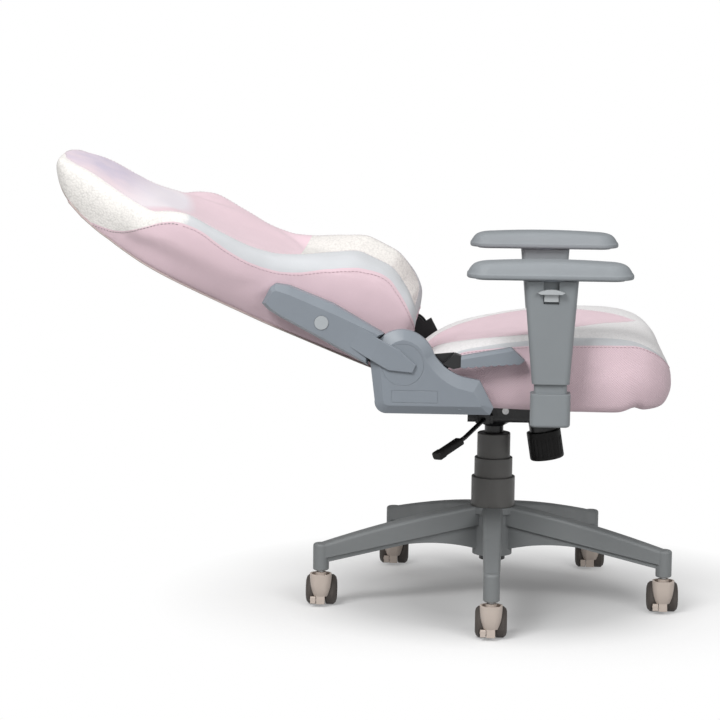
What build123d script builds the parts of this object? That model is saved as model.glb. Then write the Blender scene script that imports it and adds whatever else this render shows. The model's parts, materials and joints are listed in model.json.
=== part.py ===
"""Reclining desk chair with bucket upholstery, on a five-star castor base.

Millimetres. +X is the way the sitter faces, +Y is the sitter's left and +Z is up.
The origin is on the floor, under the axis of the gas lift. The chair is drawn as
photographed: back laid down to its stop, gas lift part way up, armrests near the bottom.
"""

import os
from math import cos, radians, sin

from build123d import *

os.makedirs("parts", exist_ok=True)

UP = (Align.CENTER, Align.CENTER, Align.MIN)

# Driving dimensions: base and castors
ARM_COUNT = 5
FIRST_ARM_ANGLE = -90
BASE_REACH = 322
COLUMN_RADIUS = 25
HUB_RADIUS = COLUMN_RADIUS + 11
HUB_COLLAR_RADIUS = COLUMN_RADIUS + 18
HUB_BOTTOM = 84
HUB_TOP = 173
ARM_END_TOP = 115.5
ARM_WIDTH_HUB = 37
ARM_WIDTH_END = 27
LEDGE_AT_HUB = 142
LEDGE_AT_END = 90
SOCKET_BOTTOM = 68
SOCKET_LIP = 0.8
STEM_RADIUS = 5.5
STEM_FOOT = 36
WHEEL_RADIUS = 27
WHEEL_WIDTH = 20
WHEEL_GAP = 15
CASTOR_TRAIL = 22
AXLE_RADIUS = 3

# Driving dimensions: gas lift and telescopic cover
COLUMN_TOP = 240
PISTON_TUBE_RADIUS = 14
PISTON_TUBE_BOTTOM = 146
PISTON_TUBE_TOP = 350
COVER_LOWER_RADIUS = COLUMN_RADIUS + 14.5
COVER_MIDDLE_RADIUS = COLUMN_RADIUS + 9.5
COVER_UPPER_RADIUS = COLUMN_RADIUS + 5
COVER_LOWER_TOP = 227
COVER_MIDDLE_TOP = 262
COVER_UPPER_TOP = 307
COVER_MIDDLE_LENGTH = 60.5
COVER_UPPER_LENGTH = 71

# Driving dimensions: tilt mechanism
TILT_X = 20
TILT_Z = 355
CHANNEL_HALF_WIDTH = 50
CHANNEL_FRONT = 118
CHANNEL_REAR = -48
CHANNEL_BOTTOM = 332
CHANNEL_TOP = 362
PLATE_BOTTOM = 372
PLATE_THICKNESS = 4
KNOB_X = 86
KNOB_LEAN = 9
KNOB_RADIUS = 31

# Driving dimensions: seat
SEAT_REAR = -188
SEAT_FRONT = 316
SEAT_BOTTOM = 384
SEAT_HALF_WIDTH = 251
SEAT_TOP = 517
FRAME_TUBE_RADIUS = 10
FRAME_Z = 392
FRAME_HALF_WIDTH = SEAT_HALF_WIDTH - 66

# Driving dimensions: recliner and back
HINGE_X = -158
HINGE_Z = 466
BACK_ANGLE = 63
BACK_LENGTH = 700
SHOULDER_HALF_WIDTH = SEAT_HALF_WIDTH + 13
HEAD_HALF_WIDTH = 172
BRACKET_INNER = SEAT_HALF_WIDTH - 35
WAIST_HALF_WIDTH = BRACKET_INNER + 24
BRACKET_OUTER = BRACKET_INNER + 6
DISC_OUTER = BRACKET_OUTER + 8
ARM_PLATE_INNER = DISC_OUTER + 0.3
ARM_PLATE_OUTER = ARM_PLATE_INNER + 5
COVER_RIM = BRACKET_OUTER + 24
COVER_FACE = COVER_RIM + 22
BACK_COVER_RIM = ARM_PLATE_OUTER + 0.7
BACK_COVER_FACE = COVER_FACE + 1
TIP_INNER = COVER_FACE + 0.5
TIP_OUTER = COVER_FACE + 5

# Driving dimensions: armrests
ARMREST_X = 94
ARMREST_Y = SEAT_HALF_WIDTH + 37
PAD_LENGTH = 281
PAD_WIDTH = 90
PAD_TOP = 646.5
PAD_BOTTOM = 620.5
PAD_RIM = 10
PAD_SLOPE = 50
SLEEVE_TOP = 616.5
SLEEVE_BOTTOM = 441
POST_WIDTH = 56
POST_DEPTH = 32
POST_TOP = 555
HOUSING_TOP = 424
HOUSING_BOTTOM = 367


def finish(piece, name):
    """Label a piece and write it out."""
    piece.part.label = name
    export_step(piece.part, f"parts/{name}.step")


def hinge_plane(depth):
    """Side view centred on the recline hinge: local x is +X, local y is +Z, depth outward to the right."""
    return Plane(origin=(HINGE_X, -depth, HINGE_Z), x_dir=(1, 0, 0), z_dir=(0, -1, 0))


# Back axes: u runs up the spine from the hinge, n points out of the front of the back.
U_DIR = Vector(-sin(radians(BACK_ANGLE)), 0, cos(radians(BACK_ANGLE)))
N_DIR = Vector(cos(radians(BACK_ANGLE)), 0, sin(radians(BACK_ANGLE)))
HINGE = Vector(HINGE_X, 0, HINGE_Z)


def on_back(u, n):
    """Side view point (X, Z) of a place on the back."""
    spot = HINGE + U_DIR * u + N_DIR * n
    return (spot.X, spot.Z)


# Star base: each arm is a tapering beam with a narrower arched rib below it
with BuildPart() as arm_beam:
    with BuildSketch(Plane.XZ):
        with BuildLine():
            ThreePointArc(
                (20, HUB_TOP + 4),
                (BASE_REACH * 0.58, HUB_TOP * 0.6 + ARM_END_TOP * 0.4 - 1.5),
                (BASE_REACH, ARM_END_TOP),
            )
            Polyline(
                (BASE_REACH, ARM_END_TOP),
                (BASE_REACH, LEDGE_AT_END),
                (20, LEDGE_AT_HUB),
                (20, HUB_TOP + 4),
            )
        make_face()
    extrude(amount=ARM_WIDTH_HUB, both=True)
    with BuildSketch():
        with BuildLine():
            Polyline(
                (20, ARM_WIDTH_HUB / 2),
                (BASE_REACH, ARM_WIDTH_END / 2),
                (BASE_REACH, -ARM_WIDTH_END / 2),
                (20, -ARM_WIDTH_HUB / 2),
                close=True,
            )
        make_face()
    extrude(amount=HUB_TOP + 20, mode=Mode.INTERSECT)
    crown = arm_beam.edges().filter_by(lambda e: e.length > BASE_REACH * 0.8)
    fillet(crown.sort_by(Axis.Z)[-2:], radius=6)

with BuildPart() as arm_rib:
    with BuildSketch(Plane.XZ):
        with BuildLine():
            ThreePointArc((30, HUB_BOTTOM + 10), (105, HUB_BOTTOM + 24.5), (165, HUB_BOTTOM + 25))
            Polyline(
                (165, HUB_BOTTOM + 25),
                (BASE_REACH, LEDGE_AT_END - 9),
                (BASE_REACH, LEDGE_AT_END + 8),
                (30, LEDGE_AT_HUB + 8),
                (30, HUB_BOTTOM + 10),
            )
        make_face()
    extrude(amount=ARM_WIDTH_HUB, both=True)
    with BuildSketch():
        with BuildLine():
            Polyline(
                (20, ARM_WIDTH_HUB / 2 - 6),
                (BASE_REACH, ARM_WIDTH_END / 2 - 4),
                (BASE_REACH, 4 - ARM_WIDTH_END / 2),
                (20, 6 - ARM_WIDTH_HUB / 2),
                close=True,
            )
        make_face()
    extrude(amount=HUB_TOP, mode=Mode.INTERSECT)

with BuildPart() as arm_socket:
    with Locations((0, 0, SOCKET_BOTTOM)):
        Cylinder(ARM_WIDTH_END / 2 + SOCKET_LIP, ARM_END_TOP + SOCKET_LIP - SOCKET_BOTTOM, align=UP)
    fillet(arm_socket.edges().group_by(Axis.Z)[-1], radius=5)
    fillet(arm_socket.edges().group_by(Axis.Z)[0], radius=2)

with BuildPart() as star_base:
    with Locations((0, 0, HUB_BOTTOM)):
        Cylinder(HUB_RADIUS, HUB_TOP - HUB_BOTTOM, align=UP)
    with Locations((0, 0, HUB_TOP - 12)):
        Cylinder(HUB_COLLAR_RADIUS, 12, align=UP)
    with PolarLocations(0, ARM_COUNT, start_angle=FIRST_ARM_ANGLE):
        add(arm_beam.part)
        add(arm_rib.part)
    with PolarLocations(BASE_REACH, ARM_COUNT, start_angle=FIRST_ARM_ANGLE):
        add(arm_socket.part)
    # flat seat for the telescopic cover, then the tapered bore and the stem bores
    with Locations((0, 0, HUB_TOP)):
        Cylinder(HUB_COLLAR_RADIUS, 20, align=UP, mode=Mode.SUBTRACT)
    with Locations((0, 0, HUB_BOTTOM)):
        Cone(COLUMN_RADIUS - 1.45, COLUMN_RADIUS + 0.05, HUB_TOP - HUB_BOTTOM, align=UP, mode=Mode.SUBTRACT)
    with PolarLocations(BASE_REACH, ARM_COUNT, start_angle=FIRST_ARM_ANGLE):
        with Locations((0, 0, SOCKET_BOTTOM)):
            Cylinder(STEM_RADIUS + 0.05, 34, align=UP, mode=Mode.SUBTRACT)
finish(star_base, "star_base")

# Castor stems: a grip ring under each socket
with BuildPart() as caster_stems:
    with PolarLocations(BASE_REACH, ARM_COUNT, start_angle=FIRST_ARM_ANGLE):
        with Locations((0, 0, STEM_FOOT)):
            Cylinder(STEM_RADIUS, SOCKET_BOTTOM + 32 - STEM_FOOT, align=UP)
        with Locations((0, 0, SOCKET_BOTTOM - 1.2)):
            Cylinder(STEM_RADIUS + 3, 1.2, align=UP)
finish(caster_stems, "caster_stems")

# Castor pieces, drawn round the stem axis with the wheels trailing towards +Y
CUP_TOP = 61
CUP_BOTTOM = 20
WEB_HALF = WHEEL_GAP / 2 - 0.9
with BuildPart() as castor_body:
    cup_sections = ((0, 24, 19, 8), (0.22, 31, 26, 11), (0.5, 36, 31, 13), (1, 39, 36, 16))
    for rise, width, depth, corner in cup_sections:
        with BuildSketch(Plane.XY.offset(CUP_BOTTOM + rise * (CUP_TOP - CUP_BOTTOM))):
            with Locations((0, -2)):
                RectangleRounded(width, depth, corner)
    loft()
    # hollow top round the stem sleeve
    with BuildSketch(Plane.XY.offset(CUP_TOP - 9)):
        with Locations((0, -2)):
            RectangleRounded(32, 29, 13)
        Circle(9.5, mode=Mode.SUBTRACT)
    extrude(amount=10, mode=Mode.SUBTRACT)
    with Locations((0, 0, CUP_BOTTOM)):
        Cylinder(9.5, CUP_TOP + 3 - CUP_BOTTOM, align=UP)
    # foot below the cup, then the web that carries the axle between the wheels
    with Locations((0, -6, 6)):
        Box(15, 11, CUP_BOTTOM - 4, align=UP)
    with BuildSketch(Plane.YZ):
        with BuildLine():
            Polyline(
                (-6, 8),
                (CASTOR_TRAIL, 15),
                (CASTOR_TRAIL + 13, WHEEL_RADIUS),
                (CASTOR_TRAIL + 2, WHEEL_RADIUS + 16),
                (6, CUP_TOP - 4),
                (-6, CUP_TOP - 4),
                close=True,
            )
        make_face()
    extrude(amount=WEB_HALF, both=True)
    # wheel wells, axle bore, stem bore
    with Locations((0, CASTOR_TRAIL, WHEEL_RADIUS)):
        with Locations((WEB_HALF + 15, 0, 0), (-WEB_HALF - 15, 0, 0)):
            Cylinder(WHEEL_RADIUS + 1.2, 30, rotation=(0, 90, 0), mode=Mode.SUBTRACT)
        Cylinder(AXLE_RADIUS + 0.08, 60, rotation=(0, 90, 0), mode=Mode.SUBTRACT)
    with Locations((0, 0, STEM_FOOT - 1)):
        Cylinder(STEM_RADIUS + 0.08, 40, align=UP, mode=Mode.SUBTRACT)
    # stub that the brake tab turns on
    with Locations((-12.5, CASTOR_TRAIL - WHEEL_RADIUS - 3, 14)):
        Cylinder(2, 13, rotation=(0, 90, 0))

with BuildPart() as castor_brake:
    with Locations((-13.4, CASTOR_TRAIL - WHEEL_RADIUS - 4, 13)):
        Box(9.6, 7, 13)
    fillet(castor_brake.edges().filter_by(Axis.X), radius=2)
    with Locations((-12.5, CASTOR_TRAIL - WHEEL_RADIUS - 3, 14)):
        Cylinder(2.08, 30, rotation=(0, 90, 0), mode=Mode.SUBTRACT)

with BuildPart() as castor_wheels:
    for side in (1, -1):
        with BuildSketch(Plane.XY):
            with BuildLine():
                Polyline(
                    (side * WHEEL_GAP / 2, AXLE_RADIUS + 0.02),
                    (side * WHEEL_GAP / 2, WHEEL_RADIUS - 2),
                    (side * (WHEEL_GAP / 2 + 2), WHEEL_RADIUS),
                    (side * (WHEEL_GAP / 2 + WHEEL_WIDTH - 6), WHEEL_RADIUS),
                    (side * (WHEEL_GAP / 2 + WHEEL_WIDTH - 1.5), WHEEL_RADIUS - 4),
                    (side * (WHEEL_GAP / 2 + WHEEL_WIDTH), WHEEL_RADIUS - 9),
                    (side * (WHEEL_GAP / 2 + WHEEL_WIDTH - 3), WHEEL_RADIUS - 12),
                    (side * (WHEEL_GAP / 2 + WHEEL_WIDTH - 3), AXLE_RADIUS + 0.02),
                    close=True,
                )
            make_face()
        revolve(axis=Axis.X)
    Cylinder(AXLE_RADIUS, WHEEL_GAP + 2 * WHEEL_WIDTH - 8, rotation=(0, 90, 0))

spots = PolarLocations(BASE_REACH, ARM_COUNT, start_angle=FIRST_ARM_ANGLE, rotate=False).locations
for number, spot in enumerate(spots, 1):
    with BuildPart() as caster_body:
        with Locations(spot):
            add(castor_body.part)
    finish(caster_body, f"caster_{number}_body")
    with BuildPart() as caster_brake:
        with Locations(spot):
            add(castor_brake.part)
    finish(caster_brake, f"caster_{number}_brake")
    with BuildPart() as caster_wheels:
        with Locations(spot * Location((0, CASTOR_TRAIL, WHEEL_RADIUS))):
            add(castor_wheels.part)
    finish(caster_wheels, f"caster_{number}_wheels")

# Gas lift: outer column in the hub, piston rod on its floor, sliding cylinder over the piston
with BuildPart() as gas_lift_column:
    with Locations((0, 0, HUB_BOTTOM - 10)):
        Cylinder(COLUMN_RADIUS - 1.5, 10, align=UP)
    with Locations((0, 0, HUB_BOTTOM)):
        Cone(COLUMN_RADIUS - 1.5, COLUMN_RADIUS, HUB_TOP - HUB_BOTTOM, align=UP)
    with Locations((0, 0, HUB_TOP)):
        Cylinder(COLUMN_RADIUS, COLUMN_TOP - HUB_TOP, align=UP)
    with Locations((0, 0, HUB_BOTTOM - 6)):
        Cylinder(COLUMN_RADIUS - 4, COLUMN_TOP - HUB_BOTTOM - 14, align=UP, mode=Mode.SUBTRACT)
    with Locations((0, 0, COLUMN_TOP)):
        Cylinder(PISTON_TUBE_RADIUS + 0.1, 60, mode=Mode.SUBTRACT)
    fillet(gas_lift_column.edges().group_by(Axis.Z)[-1].sort_by(SortBy.RADIUS)[-1:], radius=2)
finish(gas_lift_column, "gas_lift_column")

with BuildPart() as gas_lift_piston_rod:
    with Locations((0, 0, HUB_BOTTOM - 6)):
        Cylinder(9, 5, align=UP)
        Cylinder(5, 126, align=UP)
    with Locations((0, 0, HUB_BOTTOM + 116)):
        Cylinder(PISTON_TUBE_RADIUS - 2.1, 8, align=UP)
finish(gas_lift_piston_rod, "gas_lift_piston_rod")

with BuildPart() as gas_lift_cylinder:
    with Locations((0, 0, PISTON_TUBE_BOTTOM)):
        Cylinder(PISTON_TUBE_RADIUS, PISTON_TUBE_TOP - PISTON_TUBE_BOTTOM, align=UP)
    with Locations((0, 0, PISTON_TUBE_BOTTOM + 10)):
        Cylinder(PISTON_TUBE_RADIUS - 2, 150, align=UP, mode=Mode.SUBTRACT)
    with Locations((0, 0, PISTON_TUBE_BOTTOM)):
        Cylinder(5.1, 20, mode=Mode.SUBTRACT)
    with Locations((0, 0, PISTON_TUBE_TOP)):
        Cylinder(4, 4, align=UP)
    fillet(gas_lift_cylinder.edges().group_by(Axis.Z)[-1], radius=1)
finish(gas_lift_cylinder, "gas_lift_cylinder")

# Telescopic cover: three nested tubes, each held by a lip on the next
with BuildPart() as lift_cover_lower:
    with Locations((0, 0, HUB_TOP)):
        Cylinder(COVER_LOWER_RADIUS, COVER_LOWER_TOP - HUB_TOP, align=UP)
        Cylinder(COVER_LOWER_RADIUS - 3, COVER_LOWER_TOP - HUB_TOP - 3, align=UP, mode=Mode.SUBTRACT)
    with Locations((0, 0, COVER_LOWER_TOP)):
        Cylinder(COVER_MIDDLE_RADIUS + 0.6, 20, mode=Mode.SUBTRACT)
    fillet(lift_cover_lower.edges().group_by(Axis.Z)[-1].sort_by(SortBy.RADIUS)[-1:], radius=1.2)
finish(lift_cover_lower, "lift_cover_lower")

with BuildPart() as lift_cover_middle:
    with Locations((0, 0, COVER_MIDDLE_TOP - COVER_MIDDLE_LENGTH)):
        Cylinder(COVER_MIDDLE_RADIUS, COVER_MIDDLE_LENGTH, align=UP)
        Cylinder(COVER_LOWER_RADIUS - 3.3, 2, align=UP)
        Cylinder(COVER_MIDDLE_RADIUS - 2.4, COVER_MIDDLE_LENGTH - 3, align=UP, mode=Mode.SUBTRACT)
    with Locations((0, 0, COVER_MIDDLE_TOP)):
        Cylinder(COVER_UPPER_RADIUS + 0.6, 20, mode=Mode.SUBTRACT)
    fillet(lift_cover_middle.edges().group_by(Axis.Z)[-1].sort_by(SortBy.RADIUS)[-1:], radius=1.2)
finish(lift_cover_middle, "lift_cover_middle")

with BuildPart() as lift_cover_upper:
    with Locations((0, 0, COVER_UPPER_TOP - COVER_UPPER_LENGTH)):
        Cylinder(COVER_UPPER_RADIUS, COVER_UPPER_LENGTH, align=UP)
        Cylinder(COVER_MIDDLE_RADIUS - 2.7, 2, align=UP)
        Cylinder(COVER_UPPER_RADIUS - 2.4, COVER_UPPER_LENGTH - 3, align=UP, mode=Mode.SUBTRACT)
    with Locations((0, 0, COVER_UPPER_TOP)):
        Cylinder(PISTON_TUBE_RADIUS + 0.05, 20, mode=Mode.SUBTRACT)
    fillet(lift_cover_upper.edges().group_by(Axis.Z)[-1].sort_by(SortBy.RADIUS)[-1:], radius=2)
finish(lift_cover_upper, "lift_cover_upper")

# Tilt mechanism: pressed steel channel with a socket for the lift and a boss for the knob
KNOB_AXIS = Vector(sin(radians(KNOB_LEAN)), 0, -cos(radians(KNOB_LEAN)))
KNOB_PLANE = Plane(origin=(KNOB_X, 0, CHANNEL_BOTTOM + 2), x_dir=(0, 1, 0), z_dir=KNOB_AXIS)
LEVER_X = -18
LEVER_Z = 340
with BuildPart() as mech_housing:
    with BuildSketch(Plane.XZ):
        with BuildLine():
            Polyline(
                (CHANNEL_REAR, CHANNEL_BOTTOM),
                (CHANNEL_FRONT, CHANNEL_BOTTOM),
                (CHANNEL_FRONT, CHANNEL_TOP),
                (TILT_X - 10, CHANNEL_TOP),
                (CHANNEL_REAR, CHANNEL_TOP - 12),
                close=True,
            )
        make_face()
    extrude(amount=CHANNEL_HALF_WIDTH, both=True)
    fillet(mech_housing.edges().group_by(Axis.Z)[0].filter_by(Axis.X), radius=8)
    with BuildSketch(Plane.XY.offset(CHANNEL_BOTTOM + 4)):
        with Locations(((CHANNEL_FRONT + CHANNEL_REAR) / 2, 0)):
            RectangleRounded(CHANNEL_FRONT - CHANNEL_REAR - 8, 2 * CHANNEL_HALF_WIDTH - 8, 6)
    extrude(amount=60, mode=Mode.SUBTRACT)
    with Locations((0, 0, CHANNEL_BOTTOM - 12)):
        Cone(17, 40, 13, align=UP)
    with Locations((0, 0, COVER_UPPER_TOP + 0.5)):
        Cylinder(17, PISTON_TUBE_TOP - COVER_UPPER_TOP - 2, align=UP)
        Cylinder(PISTON_TUBE_RADIUS + 0.06, 60, align=UP, mode=Mode.SUBTRACT)
    with BuildSketch(KNOB_PLANE):
        Circle(KNOB_RADIUS - 6)
    extrude(amount=30)
    with BuildSketch(KNOB_PLANE.offset(-10)):
        Circle(6.08)
    extrude(amount=60, mode=Mode.SUBTRACT)
    # cross holes for the tilt pin, then the lugs and window of the lift lever
    with Locations((TILT_X, 0, TILT_Z)):
        Cylinder(6.03, 2 * CHANNEL_HALF_WIDTH + 20, rotation=(90, 0, 0), mode=Mode.SUBTRACT)
    with Locations(*[(LEVER_X + shift, -CHANNEL_HALF_WIDTH - 6, LEVER_Z) for shift in (-13, 13)]):
        Box(5, 14, 14)
    with Locations((LEVER_X, -CHANNEL_HALF_WIDTH - 8, LEVER_Z)):
        Cylinder(3.08, 60, rotation=(0, 90, 0), mode=Mode.SUBTRACT)
    with Locations((LEVER_X, -CHANNEL_HALF_WIDTH, LEVER_Z + 1)):
        Box(16, 12, 16, mode=Mode.SUBTRACT)
finish(mech_housing, "mech_housing")

with BuildPart() as tilt_pivot_pin:
    with Locations((TILT_X, 0, TILT_Z)):
        Cylinder(6, 2 * CHANNEL_HALF_WIDTH + 20, rotation=(90, 0, 0))
finish(tilt_pivot_pin, "tilt_pivot_pin")

# Tension adjuster: threaded bolt up into the housing, ribbed knob on its lower end
with BuildPart() as tension_bolt:
    with BuildSketch(KNOB_PLANE.offset(-14)):
        Circle(6)
    extrude(amount=70)
finish(tension_bolt, "tension_bolt")

with BuildPart() as tension_knob:
    with BuildSketch(KNOB_PLANE.offset(22)):
        Circle(KNOB_RADIUS)
    extrude(amount=52)
    fillet(tension_knob.edges().sort_by(Axis.Z)[0], radius=4)
    fillet(tension_knob.edges().sort_by(Axis.Z)[-1], radius=1.5)
    with BuildSketch(KNOB_PLANE.offset(21)):
        Circle(KNOB_RADIUS - 5.4)
    extrude(amount=21, mode=Mode.SUBTRACT)
    with BuildSketch(KNOB_PLANE.offset(30)):
        Circle(6.05)
    extrude(amount=26.3, mode=Mode.SUBTRACT)
    with BuildSketch(KNOB_PLANE.offset(33)):
        with PolarLocations(KNOB_RADIUS + 1.6, 24):
            Circle(2.6)
    extrude(amount=34, mode=Mode.SUBTRACT)
finish(tension_knob, "tension_knob")

# Lift lever: a cam block in the housing lugs, a rod that slides in it, a paddle grip
ROD_START = Vector(LEVER_X + 5, -42, LEVER_Z + 2)
ROD_BEND = Vector(-52, -186, LEVER_Z - 14)
GRIP_END = Vector(-99, -236, LEVER_Z - 39)
with BuildPart() as lever_cam:
    with Locations((LEVER_X, -CHANNEL_HALF_WIDTH - 8, LEVER_Z)):
        Box(20, 14, 16)
        Cylinder(3, 30, rotation=(0, 90, 0))
    with BuildSketch(Plane(origin=ROD_START, z_dir=ROD_BEND - ROD_START)):
        Circle(4.08)
    extrude(amount=60, mode=Mode.SUBTRACT)
finish(lever_cam, "lever_cam")

with BuildPart() as lift_lever_rod:
    with BuildLine() as rod_path:
        FilletPolyline(ROD_START, ROD_BEND, ROD_BEND + (GRIP_END - ROD_BEND).normalized() * 34, radius=14)
    with BuildSketch(Plane(origin=ROD_START, z_dir=ROD_BEND - ROD_START)):
        Circle(4)
    sweep()
finish(lift_lever_rod, "lift_lever_rod")

# the grip is a straight bar with a thicker end
GRIP_AXIS = Axis(ROD_BEND, GRIP_END - ROD_BEND)
GRIP_LENGTH = (GRIP_END - ROD_BEND).length
GRIP_END_LENGTH = 14
GRIP_PLANE = Plane(origin=ROD_BEND, x_dir=(0.7, -0.6, 0.1), z_dir=GRIP_AXIS.direction)
with BuildPart() as lift_lever_grip:
    with BuildSketch(GRIP_PLANE.offset(10)):
        RectangleRounded(19, 12, 3)
    extrude(amount=GRIP_LENGTH - GRIP_END_LENGTH - 8)
    chamfer(lift_lever_grip.faces().sort_by(GRIP_AXIS)[0].edges(), length=2)
    with BuildSketch(GRIP_PLANE.offset(GRIP_LENGTH - GRIP_END_LENGTH)):
        RectangleRounded(22, 14, 4.5)
    extrude(amount=GRIP_END_LENGTH)
    fillet(lift_lever_grip.faces().sort_by(GRIP_AXIS)[-1].edges(), radius=2.5)
    with BuildSketch(GRIP_PLANE.offset(8)):
        Circle(4.02)
    extrude(amount=26.2, mode=Mode.SUBTRACT)
finish(lift_lever_grip, "lift_lever_grip")

# Seat plate of the mechanism: flat plate with side cheeks on the tilt pin
BOLT_XS = (-60, 140)
BOLT_Y = 70
with BuildPart() as mech_top_plate:
    with BuildSketch(Plane.XY.offset(PLATE_BOTTOM)):
        with Locations((35, 0)):
            RectangleRounded(230, 190, 20)
        with Locations((35, 0)):
            RectangleRounded(120, 60, 12, mode=Mode.SUBTRACT)
    extrude(amount=PLATE_THICKNESS)
    for side in (1, -1):
        with BuildSketch(Plane.XZ.offset(side * (CHANNEL_HALF_WIDTH + 4))):
            with BuildLine():
                Polyline(
                    (-4, PLATE_BOTTOM + 1),
                    (48, PLATE_BOTTOM + 1),
                    (32, TILT_Z - 11),
                    (8, TILT_Z - 11),
                    close=True,
                )
            make_face()
        extrude(amount=side * 4)
    with Locations((TILT_X, 0, TILT_Z)):
        Cylinder(6.05, 300, rotation=(90, 0, 0), mode=Mode.SUBTRACT)
    with Locations(*[(x, y, PLATE_BOTTOM) for x in BOLT_XS for y in (-BOLT_Y, BOLT_Y)]):
        Cylinder(4.05, 30, mode=Mode.SUBTRACT)
finish(mech_top_plate, "mech_top_plate")

# Seat frame: tube ring with two flat straps that bolt to the plate
STRAP_TOP = FRAME_Z - FRAME_TUBE_RADIUS + 3
with BuildPart() as seat_frame:
    with BuildLine() as frame_ring:
        FilletPolyline(
            (-178, -FRAME_HALF_WIDTH, FRAME_Z),
            (248, -FRAME_HALF_WIDTH, FRAME_Z),
            (248, FRAME_HALF_WIDTH, FRAME_Z),
            (-178, FRAME_HALF_WIDTH, FRAME_Z),
            radius=45,
            close=True,
        )
    with BuildSketch(Plane(origin=(30, -FRAME_HALF_WIDTH, FRAME_Z), z_dir=(1, 0, 0))):
        Circle(FRAME_TUBE_RADIUS)
    sweep()
    with Locations(*[(x, 0, PLATE_BOTTOM + PLATE_THICKNESS) for x in BOLT_XS]):
        Box(40, 2 * FRAME_HALF_WIDTH, STRAP_TOP - PLATE_BOTTOM - PLATE_THICKNESS, align=UP)
    with Locations(*[(x, y, PLATE_BOTTOM) for x in BOLT_XS for y in (-BOLT_Y, BOLT_Y)]):
        Cylinder(4.05, 60, mode=Mode.SUBTRACT)
finish(seat_frame, "seat_frame")

with BuildPart() as seat_bolts:
    with Locations(*[(x, y, PLATE_BOTTOM - 6) for x in BOLT_XS for y in (-BOLT_Y, BOLT_Y)]):
        Cylinder(7, 6, align=UP)
        Cylinder(4, 24, align=UP)
finish(seat_bolts, "seat_bolts")

with BuildPart() as seat_webbing:
    with Locations(*[(x, 0, FRAME_Z + FRAME_TUBE_RADIUS) for x in (-120, -36, 48, 132, 205)]):
        Box(48, 2 * FRAME_HALF_WIDTH, 2.5, align=UP)
finish(seat_webbing, "seat_webbing")


def seat_section(x, half, bottom, bolster, centre):
    """Cross-section of the seat cushion: drawn-in foot, bulged side, bolster, dished middle."""
    shoulder = bolster - 0.22 * (bolster - bottom)
    inner = centre + 0.45 * (bolster - centre)
    with BuildSketch(Plane.YZ.offset(x)) as section:
        with BuildLine():
            Line((half - 16, bottom), (16 - half, bottom))
            ThreePointArc((16 - half, bottom), (-half, (bottom + shoulder) / 2), (8 - half, shoulder))
            ThreePointArc((8 - half, shoulder), (36 - half, bolster), (88 - half, inner))
            ThreePointArc((88 - half, inner), (0, centre), (half - 88, inner))
            ThreePointArc((half - 88, inner), (half - 36, bolster), (half - 8, shoulder))
            ThreePointArc((half - 8, shoulder), (half, (bottom + shoulder) / 2), (half - 16, bottom))
        make_face()
    return section.sketch


TOP = SEAT_TOP
HALF = SEAT_HALF_WIDTH
with BuildPart() as seat_cushion:
    loft(
        sections=[
            seat_section(SEAT_REAR, HALF - 50, SEAT_BOTTOM + 4, TOP - 101, TOP - 103),
            seat_section(-140, HALF - 45, SEAT_BOTTOM + 1, TOP - 67, TOP - 66),
            seat_section(-94, HALF - 41, SEAT_BOTTOM, TOP - 40, TOP - 39),
            seat_section(-40, HALF - 37, SEAT_BOTTOM, TOP - 23, TOP - 27),
            seat_section(40, HALF - 17, SEAT_BOTTOM, TOP - 8, TOP - 18),
            seat_section(140, HALF - 1, SEAT_BOTTOM, TOP - 2, TOP - 7),
            seat_section(220, HALF, SEAT_BOTTOM, TOP - 5, TOP),
            seat_section(272, HALF - 10, SEAT_BOTTOM + 1, TOP - 14, TOP - 5),
            seat_section(299, HALF - 24, SEAT_BOTTOM + 6, TOP - 31, TOP - 23),
            seat_section(SEAT_FRONT - 7, HALF - 40, SEAT_BOTTOM + 14, TOP - 49, TOP - 43),
            seat_section(SEAT_FRONT, HALF - 62, SEAT_BOTTOM + 28, TOP - 70, TOP - 66),
        ]
    )
    # underside pocket for the frame ring and the webbing
    with BuildSketch(Plane.XY.offset(SEAT_BOTTOM - 20)):
        with Locations((35, 0)):
            RectangleRounded(454, 2 * FRAME_HALF_WIDTH + 28, 56)
    extrude(amount=FRAME_Z + FRAME_TUBE_RADIUS + 3 - SEAT_BOTTOM + 20, mode=Mode.SUBTRACT)
finish(seat_cushion, "seat_cushion")

# Recliner: seat-side bracket with a foot under the frame, hinge disc with its shaft
FOOT = FRAME_Z - FRAME_TUBE_RADIUS - 6
with BuildPart() as recliner_bracket_right:
    with BuildSketch(Plane.XZ.offset(BRACKET_INNER)):
        with BuildLine():
            CenterArc((HINGE_X, HINGE_Z), 44, 0, 360)
        with BuildLine():
            Polyline((-184, FOOT), (-42, FOOT), (-42, FOOT + 18), (-184, FOOT + 18), close=True)
        make_hull()
    extrude(amount=BRACKET_OUTER - BRACKET_INNER)
    with Locations((-140, -(BRACKET_INNER + FRAME_HALF_WIDTH - 13) / 2, FOOT)):
        Box(96, BRACKET_INNER - FRAME_HALF_WIDTH + 15, 6, align=UP)
    with Locations((HINGE_X, -BRACKET_INNER, HINGE_Z)):
        Cylinder(6.03, 40, rotation=(90, 0, 0), mode=Mode.SUBTRACT)
finish(recliner_bracket_right, "recliner_bracket_right")

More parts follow.
